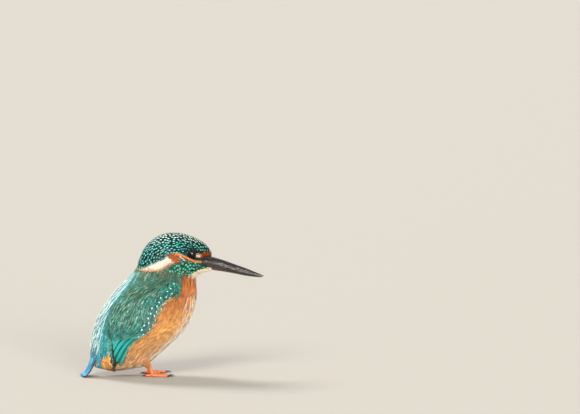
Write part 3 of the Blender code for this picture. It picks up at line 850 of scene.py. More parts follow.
def scaled_skin(name, rough, **values):
    """Bare leg skin: soft leathery scales about 0.5 mm across, waxy, with painted shade in their creases
    where the attribute blade says so."""
    material, tree, shader = finish_of(name, Roughness=rough, **values)
    tint = node(tree, "Attribute", attribute_name="tint")
    scaly = node(tree, "Attribute", attribute_name="blade")
    place = node(tree, "TexCoord").outputs["Object"]
    cells = node(tree, "TexVoronoi", {0: place, "Scale": LEG_SCALES / MM}, feature="DISTANCE_TO_EDGE")
    depth = node(tree, "MapRange", {0: scaly.outputs["Fac"], 1: 0.0, 2: 0.33, 3: 1.0, 4: 0.6})
    # Painted shade in the creases between the scales
    crease = node(tree, "MapRange", {0: cells.outputs["Distance"], 1: 0.0, 2: 0.12, 3: depth, 4: 1.0})
    cloud = node(tree, "TexNoise", {0: place, "Scale": LEG_TONES / MM, "Detail": 3.0})
    tone = node(tree, "MapRange", {0: cloud, 1: 0.3, 2: 0.7, 3: 0.85, 4: 1.12})
    value = node(tree, "Math", {0: crease, 1: tone}, operation="MULTIPLY")
    colour = node(tree, "HueSaturation", {"Color": tint, "Value": value})
    bump = node(tree, "Bump", {"Height": crease, "Strength": 0.6, "Distance": 0.1 * MM})
    fed(shader, {"Base Color": colour, "Normal": bump})
    return material


# The bird

form = form_surface()
wing_sheet = wing_surface()
tail_top, tail_under = tail_surface(1), tail_surface(-1)
EYE_AXIS = unit(np.array([0.22, 0.95, 0.12]))  # the way the left eye looks


def share_across(u):
    """A share of the wing's width as a share of its sheet's."""
    return (np.asarray(u) + WING_MARGIN) / (1 + 2 * WING_MARGIN)


def wing_share(a):
    """A share of the wing's sheet as a share of the wing's width, 0 at its rear edge."""
    return a * (1 + 2 * WING_MARGIN) - WING_MARGIN


def coat_depth(p):
    """Depth of the coat over the skin: 0.6 mm on the head, 1.1 mm on the body."""
    return 0.6 + 0.5 * soft(72 - p[:, 2], 8)


def on_bill(p):
    """Whether places on the head's front lie on the bare bill."""
    x, z = p[:, 0], p[:, 2]
    return (x > 17.8) & (z < line(x, BILL_ABOVE)) & (z > line(x, BILL_BELOW))


def under_wing(p):
    """Whether places on the form lie well under the folded wing."""
    _, s, share = chord_of(WING, p[:, 0], p[:, 2])
    return (share > 0.14) & (share < 0.86) & (s > 0.07) & (s < 0.93) & (p[:, 2] < 68)


def eye_distance(p):
    """Distance to the middle of the nearer eye."""
    return np.linalg.norm(np.stack([p[:, 0], np.abs(p[:, 1]), p[:, 2]], 1) - EYE, axis=1)


def skin_shape():
    """The bare skin: the form let in by the coat's depth, the eyelids, the thighs, shanks and feet."""
    table = form.table[::2, :-1:2]
    p, normal = table[..., :3], table[..., 9:]
    flat = p.reshape(-1, 3)
    inset = coat_depth(flat).reshape(p.shape[:2])
    tint, _ = markings_and_painted_light(flat)
    # Under the coat the skin takes the plumage's colours darkened to 0.7: painted shade between the feathers
    shapes = [closed_loft(p - normal * inset[..., None], tint.reshape(p.shape) * 0.7)]
    for side in (1, -1):
        for shape in (eyelid(), *thigh_and_leg()):
            shapes.append(shape if side > 0 else mirrored(shape))
    for shape in shapes:
        red = shape["tint"][:, :1] > 3.0 * shape["tint"][:, 2:]
        shape["blade"] = np.repeat(red & (shape["points"][:, 2:] < 12), 3, 1).astype(float)
    return joined(shapes)


def pipe(path, radii, around, upright=(0, 0, 1)):
    """Rings of the given radii about a path: r cos q to its side, r sin q upwards."""
    path, radii = np.asarray(path, float), np.broadcast_to(radii, len(path))
    way = unit(np.gradient(path, axis=0))
    side = unit(np.cross(way, upright))
    q = np.linspace(0, 2 * np.pi, around, endpoint=False)
    ring = np.cos(q)[None, :, None] * side[:, None] + np.sin(q)[None, :, None] * np.cross(side, way)[:, None]
    return path[:, None] + radii[:, None, None] * ring


def plain(rings, name, shade=1.0):
    """One colour, shaded, for all points of the rings."""
    return np.broadcast_to(ink(name) * shade, rings.shape)


def eyelid():
    """A ring round the eye's opening, thicker above: a torus whose tube swells by a third at the top."""
    side = unit(np.cross(EYE_AXIS, (0, 0, 1)))
    up = np.cross(side, EYE_AXIS)
    q = np.linspace(0, 2 * np.pi, 48, endpoint=False)[:, None, None]
    r = np.linspace(0, 2 * np.pi, 12, endpoint=False)[None, :, None]
    ring = np.cos(q) * side * 1.06 + np.sin(q) * up * 0.97
    tube = 0.34 + 0.10 * np.sin(q)
    centre = EYE + EYE_AXIS * math.sqrt(EYE_RADIUS**2 - EYE_OPENING**2) + ring * (EYE_OPENING + 0.2)
    points = centre + tube * (np.cos(r) * ring + np.sin(r) * EYE_AXIS * 0.8)
    first = np.arange(12)
    n = (first + 1) % 12
    last = first + 47 * 12
    closing = np.stack([last, last[n], n, first], 1)
    return turned_out({
        "points": points.reshape(-1, 3),
        "faces": [np.concatenate([grid_quads(48, 12, True), closing])],
        "tint": plain(points.reshape(-1, 3), "rim"),
    })


def toe_line(toe, count):
    """A toe's middle line on the floor and its radii, with a pad under each of its joints."""
    length, root, tip, place, turn, _ = TOES[toe]
    t = np.linspace(0, 1, count)
    radii = root + (tip - root) * t + 0.12 * np.sin(t * 3 * np.pi) ** 2
    forward = FOOT_X + length * t
    sideways = FOOT_SPREAD + place + FOOT_TOE_OUT * length * t + turn * abs(length) * t
    height = radii * 0.8 + 0.15 * np.sin(np.pi * t) * (1 - t)
    return np.column_stack([forward, sideways, height]), radii


def thigh_line():
    """The feathered thigh's middle line and its radii: an egg, fullest near its top."""
    top, end = np.array(THIGH_TOP), np.array(THIGH_END)
    t = np.linspace(0, 1, 25)
    bulge = np.sin(np.pi * (0.12 + 0.88 * t)).clip(0) ** 0.8 * (1 - 0.42 * t)
    return top + np.outer(t, end - top), 1.4 + 2.8 * bulge


def thigh_and_leg():
    """Shapes of one side: thigh, shank with its ringed scutes, ankle and four toes."""
    path, radii = thigh_line()
    rings = pipe(path, radii - 0.7, 24)
    # The thigh under its down is the belly's colour darkened to 0.7: painted shade under the down
    yield closed_loft(rings, plain(rings, "belly", 0.7))
    t = np.linspace(0, 1, 40)
    foot = np.array([FOOT_X, FOOT_SPREAD, 1.7])
    way = np.array(TARSUS_LEAN) * TARSUS_LENGTH
    radii = 1.1 + 0.12 * np.abs(np.cos(np.pi * t)) + 0.07 * np.abs(np.sin(np.pi * t * 8))
    rings = pipe(foot + np.outer(t, way), radii, 16, (0, 1, 0))
    yield closed_loft(rings, plain(rings, "foot"))
    turn = np.linspace(0.02, np.pi - 0.02, 16)
    ankle = np.array([FOOT_X - 0.1, FOOT_SPREAD, 1.55]) - np.outer(np.cos(turn), (1.6, 0, 0))
    rings = pipe(ankle, 1.6 * np.sin(turn), 16)
    rings[..., 2] = rings[..., 2].clip(0)
    yield closed_loft(rings, plain(rings, "foot"))
    for toe, (length, *_) in TOES.items():
        path, radii = toe_line(toe, 60)
        t = np.linspace(0, 1, 60)
        end = np.sqrt(np.clip(1 - ((t - 0.9) / 0.1).clip(0) ** 2, 0.03, 1))
        scutes = 1 + 0.09 * np.abs(np.sin(np.pi * t * abs(length) / 0.95))
        rings = pipe(path, radii * scutes * end, 16)
        rings[..., 2] = rings[..., 2].clip(0)
        # Darker and browner towards the floor
        low = soft(1.0 - rings[..., 2], 0.8)[..., None]
        yield closed_loft(rings, ink("foot") * (1 - low) + ink("sole") * low)


def claw_shape(toe):
    """A claw: a tapering tube on an arc from the toe's end down to the floor."""
    path, radii = toe_line(toe, 7)
    way = unit(path[-1] - path[-2])
    reach = TOES[toe][5]
    t = np.linspace(0, 1, 16)[:, None]
    lift = 0.22 * reach * np.sin(np.pi * t * 0.9) - t**2 * (path[-1][2] - 0.45)
    centre = path[-1] - way * 0.35 + way * (reach + 0.7) * t * (1 - 0.08 * t) + lift * (0, 0, 1)
    rings = pipe(centre, radii[-1] * 0.8 * (1 - 0.82 * t[:, 0] ** 1.15), 12)
    rings[..., 2] = rings[..., 2].clip(0.02)
    return closed_loft(rings, plain(rings, "claw"))


def bill_half(stations, top):
    """Half of the bill: each ring is a dome over its cutting edge, height times sin q to the power 0.85,
    with a nostril slit and a groove pressed into the upper half."""
    rows = through(stations, 110)
    x, ridge, edge, half = rows.T[:, :, None]
    q = np.linspace(0, 2 * np.pi, 36, endpoint=False)[None]
    rise = np.where(np.sin(q) > 0, np.abs(np.sin(q)) ** (0.85 if top else 1.0), 0.10 * np.sin(q))
    pinch = 1 - 0.10 * rise.clip(0) ** 3
    z = edge + (ridge - edge) * rise
    y = half * np.cos(q) * pinch
    share = (z - edge) / (ridge - edge)
    groove = np.exp(-((share - 0.55) / 0.16) ** 2) * np.exp(-(((x - 27) / 9) ** 2))
    slit = np.exp(-(((x - NOSTRIL_X) / 1.9) ** 2) - ((share - 0.58) / 0.13) ** 2)
    y = y * (1 - (0.05 * groove + 0.14 * slit) * top)
    x = np.broadcast_to(x, y.shape)
    rings = np.stack([x, y, z], -1)
    red = soft(36 - x, 8) * soft(rise - 0.55, 0.5) * (0.0 if top else 0.9)
    tone = ink("bill") + (ink("bill_base") - ink("bill")) * red[..., None] * soft(x - 21, 6)[..., None]
    # Painted glint: lighter along the cutting edges, where light catches them
    rim = np.exp(-((rise.clip(0) / 0.12) ** 2))[..., None] * soft(x - 20, 4)[..., None] * 0.6
    tone = tone + (ink("bill_edge") - tone) * rim
    # Painted shade in the nostril slit
    tone = tone * (1 - 0.75 * (slit * top)[..., None])
    return closed_loft(rings, tone)


def eye_shape():
    """A ball with its pole on the eye's axis: black pupil, dark brown iris, black rim."""
    side = unit(np.cross(EYE_AXIS, (0, 0, 1)))
    up = np.cross(side, EYE_AXIS)
    lat = np.linspace(0.02, np.pi - 0.02, 48)[:, None, None]
    q = np.linspace(0, 2 * np.pi, 48, endpoint=False)[None, :, None]
    ring = np.cos(q) * side + np.sin(q) * up
    points = EYE + EYE_RADIUS * 0.985 * (np.cos(lat) * EYE_AXIS + np.sin(lat) * ring)
    across = np.broadcast_to(np.sin(lat) * EYE_RADIUS, points.shape[:2] + (1,))[..., 0]
    iris = soft(across - PUPIL_RADIUS, 0.12) * soft(IRIS_RADIUS - across, 0.3)
    tone = ink("pupil") + (ink("iris") - ink("pupil")) * iris[..., None]
    return closed_loft(points, tone)


# Plumage


def body_coats():
    """Roots over the whole form, and the feathers of each tract."""

    def spacing(p):
        """Least distance between roots: 1.4 mm, less on the face and round the eye, more on the cheek."""
        x, z = p[:, 0], p[:, 2]
        head = soft(z - line(x, HEAD_FOOT), 2)
        face = np.maximum(soft(line(x, CROWN_EDGE) + 1.0 - z, 2),
                          inside(p, (-3, 85.5), (26, 84.5), 2.2, 1.6, 2.0)) * head
        front = soft(x - line(z, GREEN_FRONT), 4) * (1 - head)
        crown = head * (1 - face)
        near_eye = soft(6.0 - eye_distance(p), 2) * (1 - face)
        cheek = face * soft(x - CHEEK_REAR, 1) * soft(line(x, MALAR_TOP) - z, 1)
        cheek = cheek * soft(z - line(x, THROAT_TOP), 1)
        apart = 1.4 - 0.74 * face + 0.22 * crown + 0.05 * crown * soft(x - 8, 14)
        return apart - 0.2 * front + 1.0 * cheek - 0.7 * near_eye

    def keep(p, s, a):
        """Where feathers show: not on the bill, in the eye's opening or under the wing."""
        return ~on_bill(p) & (eye_distance(p) > 3.5) & ~under_wing(p) & (s > 0.012) & (s < BODY_END)

    s, a, p = scattered(form, spacing, keep, 11)
    tint, tip = markings_and_painted_light(p, 0.22)
    x, z = p[:, 0], p[:, 2]
    head = z > line(x, HEAD_FOOT)
    crown = head & (z > line(x, CROWN_EDGE) - 0.4) & (x > CROWN_REAR)
    cheek = head & ~crown & (x > CHEEK_REAR) & (z < line(x, MALAR_TOP)) & (z > line(x, THROAT_TOP) - 0.3)
    rump = ~head & (x < line(z, AZURE_FRONT))
    back = ~head & ~rump & (x < line(z, GREEN_FRONT))
    face = head & ~crown & ~cheek
    front = ~head & ~back & ~rump
    gap = spacing(p)
    room = (eye_distance(p) - EYE_RADIUS).clip(0.5, 9)
    ahead = soft(x - EYE[0], 2) * soft(5 - np.abs(z - EYE[2]), 2)
    for name, here, long, wide, rise, camber in (  # length and half width in spacings
        ("crown", crown, 2.1, 0.62, 0.25, 0.12),
        ("cheek", cheek, 2.2, 0.62, 0.2, 0.1),
        ("face", face, 2.6, 0.66, 0.1, 0.05),
        ("breast", front, 3.6, 0.7, 0.05, 0.05),
        ("rump", rump, 3.8, 0.7, 0.2, 0.1),
        ("back", back, 3.6, 0.68, 0.1, 0.06),
    ):
        length = gap[here] * long
        length = length + (np.minimum(length, room[here]) - length) * ahead[here]
        depth = coat_depth(p[here])
        shade = clumps(s[here], a[here], 0.3 if name == "back" else 0.12)
        yield name, coat(
            form, ROUND if name in ("crown", "cheek") else SCALE, (s[here], a[here]), tint[here] * shade,
            tip[here], 5, length=length, width=gap[here] * wide, lie=0.0, low=-0.6 * depth, high=rise,
            camber=camber, ragged=0.05,
        )


def tuft_coat(sheet, region, colours, seed, spacing, length, width, lift=0.55, clumped=0.3, turn=None,
              stray=0.08):
    """Tufts of loose barbs over a tract, which make its face soft. Their tips rise up to lift over it,
    clumped is how strongly they are light and dark in clumps, turn(s, a) is their lie, and stray is how
    far each may turn and bend from it."""
    s, a, p = scattered(sheet, spacing, region, seed)
    rng = np.random.default_rng(seed)
    tint, tip = colours(p)
    count = len(s)
    return coat(
        sheet, TUFT, (s, a), tint * rng.uniform(0.9, 1.12, (count, 1)) * clumps(s, a, clumped), tip, seed,
        length=length * rng.uniform(0.7, 1.3, count), width=width,
        lie=(turn(s, a) if turn else 0.0) + rng.normal(0, stray, count), low=-0.1,
        high=rng.uniform(0.2, lift, count), camber=0.08, bend=rng.normal(0, stray, count),
    )


def highlight_strokes(region, colour, seed, spacing, length):
    """Painted highlights along the body's outline, where light catches it: pale narrow blades laid like
    barbs.
    """
    s, a, _ = scattered(form, spacing, region, seed)
    rng = np.random.default_rng(seed)
    count = len(s)
    tint = ink(colour) * rng.uniform(0.8, 1.0, (count, 1))
    return coat(
        form, BLADE, (s, a), tint, tipless(tint), seed,
        length=length * rng.uniform(0.6, 1.3, count), width=rng.uniform(0.12, 0.24, count),
        lie=rng.normal(0, 0.06, count), low=0.0, high=rng.uniform(0.4, 0.75, count), camber=0.12,
        bend=rng.normal(0, 0.08, count),
    )


def aimed(sheet, root, tip):
    """Length and lie of feathers that run from root to tip, both (s, a) on the sheet."""
    root, tip = np.stack(np.broadcast_arrays(*root), -1), np.stack(np.broadcast_arrays(*tip), -1)
    middle = (root + tip) / 2
    start, end = sheet.at(*root.T)[0], sheet.at(*tip.T)[0]
    _, ds, da, _ = sheet.at(*middle.T)
    ms, ma = np.linalg.norm(ds, axis=-1), np.linalg.norm(da, axis=-1)
    step = tip - root
    lie = np.arctan2(step[:, 1] * ma, step[:, 0] * ms)
    return np.linalg.norm(end - start, axis=-1), lie


def quills(sheet, across, start, end, tint, tip, seed, bend=0.0, **sizes):
    """A row of long feathers from start to end, both (s, u), turning by bend on their way. across turns u
    into the sheet's own share, and tip is the tip colour's name and strength."""
    s0, u0, s1, u1 = (np.asarray(v, float) for v in np.broadcast_arrays(*start, *end))
    root = s0, across(u0)
    length, lie = aimed(sheet, root, (s1, across(u1)))
    return coat(
        sheet, BLADE, root, *alike(len(s0), tint, *tip), seed, length=length, lie=lie - bend / 2, bend=bend,
        **sizes,
    )


def on_form(points):
    """Shares (s, a) of the head's left side at places (x, z) of the side plane."""
    x, z = np.asarray(points, float).T
    _, s, share = chord_of(FORM, x, z)
    return s, np.arccos(np.clip(2 * share - 1, -1, 1)) / (2 * np.pi)


def cheek_lines():
    """Feathers that cling together in lines on the left cheek: the rufous stripe under the eye, in two
    overlapping rows, and the pale streaks of the ear."""
    x, z = np.array(EYE_STRIPE).T
    station = np.arange(len(x))
    start = np.linspace(0, len(x) - 1.8, 13)

    def stripe_at(place, rise):
        """Shares on the form at places along the stripe, counted in its stations."""
        return on_form(np.column_stack([np.interp(place, station, x), np.interp(place, station, z) + rise]))

    for rise, seed in ((0.3, 81), (-0.3, 82)):
        yield quills(form, np.asarray, stripe_at(start, rise), stripe_at(start + 0.8, rise), "stripe",
                     ("ear_tip", 0.4), seed, width=0.5, low=-0.1, high=0.42, camber=0.1)
    for root, tip in EAR_STREAKS:
        yield quills(form, np.asarray, on_form([root]), on_form([tip]), "streak", ("streak", 0.0), 83,
                     width=0.2, low=0.2, high=0.6, camber=0.1)


def wing_quills():
    """Flight feathers of the left wing: a narrow row underneath, the front ones lowest, with their tips at
    its rear edge, and a broad row over them. A dark blade along the rear edge is painted shadow in the gap
    behind the wing."""
    n = np.arange(8)
    yield quills(wing_sheet, share_across, (0.50 - 0.02 * n, 0.99 - 0.07 * n),
                 (1.0 - 0.010 * n, 0.86 - 0.11 * n), "flight", ("flight_dark", 0.35), 21,
                 width=1.2, low=-1.15, high=-0.9 + 0.02 * n, camber=0.15, bend=-0.4)
    # A dark blade along the wing's rear edge: painted shadow in the gap behind the wing
    yield quills(wing_sheet, share_across, ([0.675], [0.05]), ([1.0], [-0.03]), "gap", ("gap", 0.0), 23,
                 width=0.7, low=0.0, high=0.35, camber=0.1)
    n = np.arange(5)
    yield quills(wing_sheet, share_across, (0.62 - 0.05 * n, 0.97 - 0.14 * n),
                 (1.0 - 0.065 * n, np.maximum(0.58 - 0.32 * n, 0.05)), "flight", ("wing", 0.3), 22,
                 width=1.95, low=-0.8 + 0.06 * n, high=-0.35 + 0.09 * n, camber=0.25, bend=-0.25)


def wing_lie(s, u):
    """Angle of the wing's small feathers from its length: they turn towards its front edge near the
    shoulder, and towards its rear edge near its tip."""
    shoulder = 0.55 * soft(0.35 - s, 0.5) * soft(u - 0.2, 0.8)
    front = 0.25 * soft(u - 0.6, 0.5) * soft(0.5 - s, 0.4)
    return shoulder + front - 0.16 - 0.1 * soft(s - 0.55, 0.3)


def wing_coverts():
    """Small feathers over the root of the left wing's quills, greener towards its rear edge."""

    def keep(p, s, a):
        """Down to a waved end, further down at the rear edge."""
        u = wing_share(a)
        return (u > -0.12) & (u < 1.02) & (s > -0.01) & (s < 0.66 + 0.02 * np.cos(6 * u) - 0.10 * (u - 0.5))

    s, a, _ = scattered(wing_sheet, 1.35, keep, 31)
    u = wing_share(a)
    count = len(s)
    rng = np.random.default_rng(32)
    rear = (soft(0.52 - u + 0.25 * (s - 0.3), 0.3) * soft(0.5 - s, 0.3))[:, None]
    tint = ink("wing") * (1 - rear) + ink("mantle") * rear
    for name, chance in (("moss", 0.3), ("silver", 0.12), ("dun", 0.06)):
        here = rng.random((count, 1)) < chance * (0.2 + 0.8 * rear) * (s[:, None] > 0.14)
        tint = np.where(here, ink(name), tint)
    _, tip = alike(count, "wing", "mantle_tip", 0.25)
    return coat(
        wing_sheet, SCALE, (s, a), tint * clumps(s, a, 0.3, 20, 16, 36), tip, 33,
        length=4.6 - 1.4 * (u > 0.6) * (s < 0.5), width=0.8, lie=wing_lie(s, u) + rng.normal(0, 0.05, count),
        low=-0.6, high=0.05, camber=0.16, ragged=0.03,
    )


def wing_spots():
    """The spotted rows along the left wing's front edge: dark feathers, each with one pale turquoise dot."""

    def keep(p, s, a):
        """A band that narrows down the wing, and starts behind the shoulder's front."""
        u = wing_share(a)
        return (u > 0.64 + 0.18 * s) & (u < 0.95) & (p[:, 0] < -2.5) & (s < 0.64)

    s, a, _ = scattered(wing_sheet, 2.9, keep, 34)
    tint, tip = alike(len(s), "wing", "wing_tip", 1.0)
    return coat(
        wing_sheet, ROUND, (s, a), tint * 0.8, tip, 35, length=2.8, width=0.85,
        lie=wing_lie(s, wing_share(a)), low=-0.3, high=0.6, camber=0.1, ragged=0.02,
    )


def shade_slab(sheet, s, a, low, high):
    """A thin closed sheet between two depths under a surface, through its shares s and a, in the mantle's
    colour darkened to 0.35: painted shade under the feathers.
    """
    s, a = np.meshgrid(s, a, indexing="ij")
    point, _, _, normal = sheet.at(s, a)
    rings = np.concatenate([point + normal * high, (point + normal * low)[:, ::-1]], 1)
    return closed_loft(rings, plain(rings, "mantle", 0.35))


def fan_share(t):
    """A share of the tail's half width, -1 to 1, as a share of its sheet's."""
    return (np.asarray(t) + TAIL_MARGIN) / (2 * TAIL_MARGIN)


def tail_quills():
    """Twelve tail feathers, the middle pair on top, seen from above and from below."""
    n = np.arange(6)
    for sign in (1, -1):
        tip_at = sign * (0.10 + 0.14 * n)
        root = 0.02, tip_at * 0.7
        above, below = (1.05 - 0.012 * n, tip_at), (1.04 - 0.012 * n, tip_at)
        yield quills(tail_top, fan_share, root, above, "tail", ("tail_tip", 0.4), 41,
                     width=1.9, low=-0.5 - 0.05 * n, high=-0.15 - 0.05 * n, camber=0.22)
        yield quills(tail_under, fan_share, root, below, "flight_dark", ("tail", 0.3), 42,
                     width=1.9, low=-0.7 + 0.05 * n, high=-0.5 + 0.05 * n, camber=0.2)


def tail_coverts(sheet, start, end, tint, tip, seed):
    """Feathers that cover the root of the tail, above or below it."""

    def keep(p, s, a):
        """A band across the tail, short of its edges."""
        return (s > start) & (s < end) & (np.abs(a - 0.5) < 0.36)

    s, a, _ = scattered(sheet, 1.6, keep, seed)
    return coat(
        sheet, SCALE, (s, a), *alike(len(s), tint, tip, 0.7), seed, length=5.5, width=1.1, lie=0.0, low=-0.2,
        high=0.3, camber=0.12, ragged=0.05,
    )


def thigh_coat():
    """Loose down over the left thigh."""
    path, radii = thigh_line()
    sheet = Surface(pipe(path, radii, 48)[:, ::-1], True)
    return tuft_coat(sheet, lambda p, s, a: (s > 0.02) & (s < 0.9),
                     lambda p: alike(len(p), "vent", "fringe", 0.3), 71,
                     spacing=0.45, length=3.0, width=0.3, lift=0.3)


def soft_front(p, s, a):
    """Breast, belly and vent."""
    x, z = p[:, 0], p[:, 2]
    below = (z < line(x, HEAD_FOOT) + 0.5) & (x > line(z, GREEN_FRONT) - 1.5)
    return below & ~under_wing(p) & (s < BODY_END)


def front_lie(s, a):
    """Angle of the belly's barbs: they lean back over the flanks, in line with the belly's outline."""
    return -0.4 * np.sin(2 * np.pi * a) * soft(s - 0.58, 0.2)


def soft_back(p, s, a):
    """Mantle and flanks behind the wing, but not the painted shadow in the gap beside the tail."""
    x, z = p[:, 0], p[:, 2]
    behind = (z < line(x, HEAD_FOOT)) & (x < line(z, GREEN_FRONT)) & (x > line(z, AZURE_FRONT))
    beside_gap = (np.abs(x - line(z, GAP)) < 2.2) & (z < 34)
    return behind & ~beside_gap & ~under_wing(p) & (s < BODY_END)


def soft_rump(p, s, a):
    """The azure stripe down back and rump."""
    x, z = p[:, 0], p[:, 2]
    return (z < 74) & (x < line(z, AZURE_FRONT)) & (s < BODY_END)


def soft_face(p, s, a):
    """Throat, ear coverts and the white patch, but not the spotted cheek or the rim of the eye."""
    x, z = p[:, 0], p[:, 2]
    cheek = (x > CHEEK_REAR) & (z < line(x, MALAR_TOP)) & (z > line(x, THROAT_TOP))
    head = (z > line(x, HEAD_FOOT)) & (z < line(x, CROWN_EDGE) + 1.2 * (x > -6))
    return head & ~cheek & ~on_bill(p) & (eye_distance(p) > 4.3) & (s > 0.03)


def body_colours(p):
    """The markings, with edges that run into each other."""
    return markings_and_painted_light(p, 0.4)


def face_colours(p):
    """The markings, with clear edges."""
    return markings_and_painted_light(p, 0.12)


def wing_colours(p):
    """Loose barbs of the wing: greens with some silver and dun, and plainer towards its tip. A painted sheen
    crosses its middle as pale barbs, and slate lies along its front edge below."""
    rng = np.random.default_rng(61)
    x, z = p[:, 0], p[:, 2]
    count = len(p)
    picked = rng.choice(["wing", "mantle", "moss", "silver", "dun"], count, p=[0.38, 0.30, 0.16, 0.08, 0.08])
    picked = np.where(np.isin(picked, ("silver", "dun")) & (z < 40), "wing", picked)
    picked = np.where((picked == "wing") & (z > 59) & (rng.random(count) < 0.6), "mantle", picked)
    # Painted sheen: pale barbs in a band across the wing's middle height
    picked = np.where(rng.random(count) < 0.32 * np.exp(-(((z - 48) / 10) ** 2)), "sheen", picked)
    low_front = soft(x - line(z, GREEN_FRONT) + 6, 4) * soft(52 - z, 8)
    picked = np.where(rng.random(count) < 0.45 * low_front, "slate", picked)
    green = np.isin(picked, ("wing", "mantle", "moss"))
    tint = inks(np.where((z > 56) & (x > -9) & ~green, "mantle", picked))
    return tint, tipless(tint)


def edge_colours(p):
    """Barbs of the flank that overlap the wing's front edge."""
    rng = np.random.default_rng(62)
    tint = inks(rng.choice(["belly", "vent", "dun", "slate"], len(p), p=[0.45, 0.25, 0.15, 0.15]))
    return tint, tipless(tint)


def wing_edge(p, s, a):
    """Along the wing's front edge, below the shoulder."""
    u = wing_share(a)
    return (u > 0.985) & (u < 1.09) & (s > 0.22) & (s < 0.90)


def lit_front_outline(p, s, a):
    """The outline of breast and belly, where the painted highlights lie."""
    x, y, z = p[:, 0], np.abs(p[:, 1]), p[:, 2]
    return (x > line(z, GREEN_FRONT) + 3) & (z > 10) & (z < 58) & (y > 3) & (y < 9 + 0.08 * z)


def lit_rump_outline(p, s, a):
    """The outline of back and rump, where the painted highlights lie."""
    x, y, z = p[:, 0], np.abs(p[:, 1]), p[:, 2]
    return (x < line(z, AZURE_FRONT) - 0.5) & (z > 24) & (z < 73) & (y > 1.5) & (y < 12)


def wing_face(p, s, a):
    """The wing's small feathers, short of its front edge."""
    u = wing_share(a)
    return (u > -0.15) & (u < 0.97) & (s > -0.02) & (s < 0.70 - 0.15 * u.clip(0.4, 0.8))


# Short vanes: matt and even, a little darker at their roots, so that coats look soft
plumage = feather_vane("feather vanes, matt", tip_from=0.45, tip_to=0.95, dot=1.0, barb=0.5, rough=0.62,
                       rim=-0.3, Sheen_Weight=0.2)
# Cheek and crown: smoother and shinier, with a blue-green spot at the tip, broad on the cheek
cheek_vane = feather_vane("cheek vanes, shining tips", tip_from=0.5, tip_to=0.62, dot=0.62, barb=0.25,
                          rough=0.5, Specular_IOR_Level=0.35)
spotted = feather_vane("feather vanes, shining tips", tip_from=0.5, tip_to=0.62, dot=0.32, barb=0.25,
                       rough=0.48, Specular_IOR_Level=0.35)
# Wing and tail quills: satin, with dark edges that draw each feather apart from the next
quill_vane = feather_vane("flight feather vanes", tip_from=0.6, tip_to=1.0, dot=1.0, barb=0.4, rough=0.45,
                          rim=-3.4, grain=0.10)
# Loose barbs: dull and fluffy, without stripes, darker where they leave the coat
loose = feather_vane("loose feather barbs", tip_from=0.3, tip_to=1.0, dot=2.0, barb=0.0, rough=0.7, rim=0.0,
                     grain=0.13, root_shade=-0.6, Sheen_Weight=0.2)
# Bill: near black, with broken bright lights along the ridge
bill_horn = horn("bill horn, polished", rough=0.16, streak=0.4, Specular_IOR_Level=0.8)
# Claws: the same horn, duller and more even
claw_horn = horn("claw horn", rough=0.32, streak=0.15)
# Eye: a mirror-smooth wet ball that shows the lamps as sharp points
wet_eye, wet_tree, wet_shader = finish_of("eye, wet cornea", Roughness=0.02, IOR=1.45, Specular_IOR_Level=0.9)
fed(wet_shader, {"Base Color": node(wet_tree, "Attribute", attribute_name="tint")})
# Legs and feet: orange and waxy, with painted shade in their fine creases. The skin under the plumage has it
# too, hidden
bare_skin = scaled_skin("bare skin and leg scales", rough=0.26, Specular_IOR_Level=0.9)

piece("skin", skin_shape(), bare_skin, "rufous_feathers",
      ["head", "neck", "trunk"] + [f"{part}_{side}" for part in ("thigh", "leg", "foot")
                                   for side in ("left", "right")])
COAT_LOOKS = {
    "crown": (spotted, "crown_feathers"),
    "cheek": (cheek_vane, "crown_feathers"),
    "back": (plumage, "teal_feathers"),
    "rump": (plumage, "azure_feathers"),
}
for name, shape in body_coats():
    piece(f"coat_{name}", shape, *COAT_LOOKS.get(name, (plumage, "rufous_feathers")))

for side, sign in (("left", 1), ("right", -1)):
    half = tuft_coat(form, lambda p, s, a: soft_front(p, s, a) & (p[:, 1] * sign > 0), body_colours, 51,
                     spacing=0.66, length=9.0, width=0.34, lift=0.45, clumped=0.05, turn=front_lie,
                     stray=0.04)
    piece(f"barbs_front_{side}", half, loose, "rufous_feathers")
face_barbs = tuft_coat(form, soft_face, face_colours, 54, spacing=0.52, length=1.6, width=0.3, lift=0.3)
piece("barbs_face", face_barbs, loose, "rufous_feathers")
back_barbs = tuft_coat(form, soft_back, body_colours, 52, spacing=0.72, length=6.5, width=0.28)
piece("barbs_back", back_barbs, loose, "teal_feathers")
# Painted highlights along the outlines of breast and back, in near-white colours
piece("strokes_front", highlight_strokes(lit_front_outline, "streak", 57, spacing=2.5, length=9.0), loose,
      "rufous_feathers")
piece("strokes_rump", highlight_strokes(lit_rump_outline, "azure_tip", 58, spacing=2.0, length=8.0), loose,
      "azure_feathers")
rump_barbs = tuft_coat(form, soft_rump, body_colours, 55, spacing=0.85, length=7.0, width=0.34, lift=0.5)
piece("barbs_rump", rump_barbs, loose, "azure_feathers")
wing_barbs = tuft_coat(wing_sheet, wing_face, wing_colours, 53, spacing=0.72, length=6.5, width=0.28,
                       lift=0.45, turn=lambda s, a: wing_lie(s, wing_share(a)))
edge_barbs = tuft_coat(wing_sheet, wing_edge, edge_colours, 56, spacing=0.7, length=5.5, width=0.28,
                       lift=1.0, clumped=0.1, turn=lambda s, a: np.full(len(s), -0.8), stray=0.2)
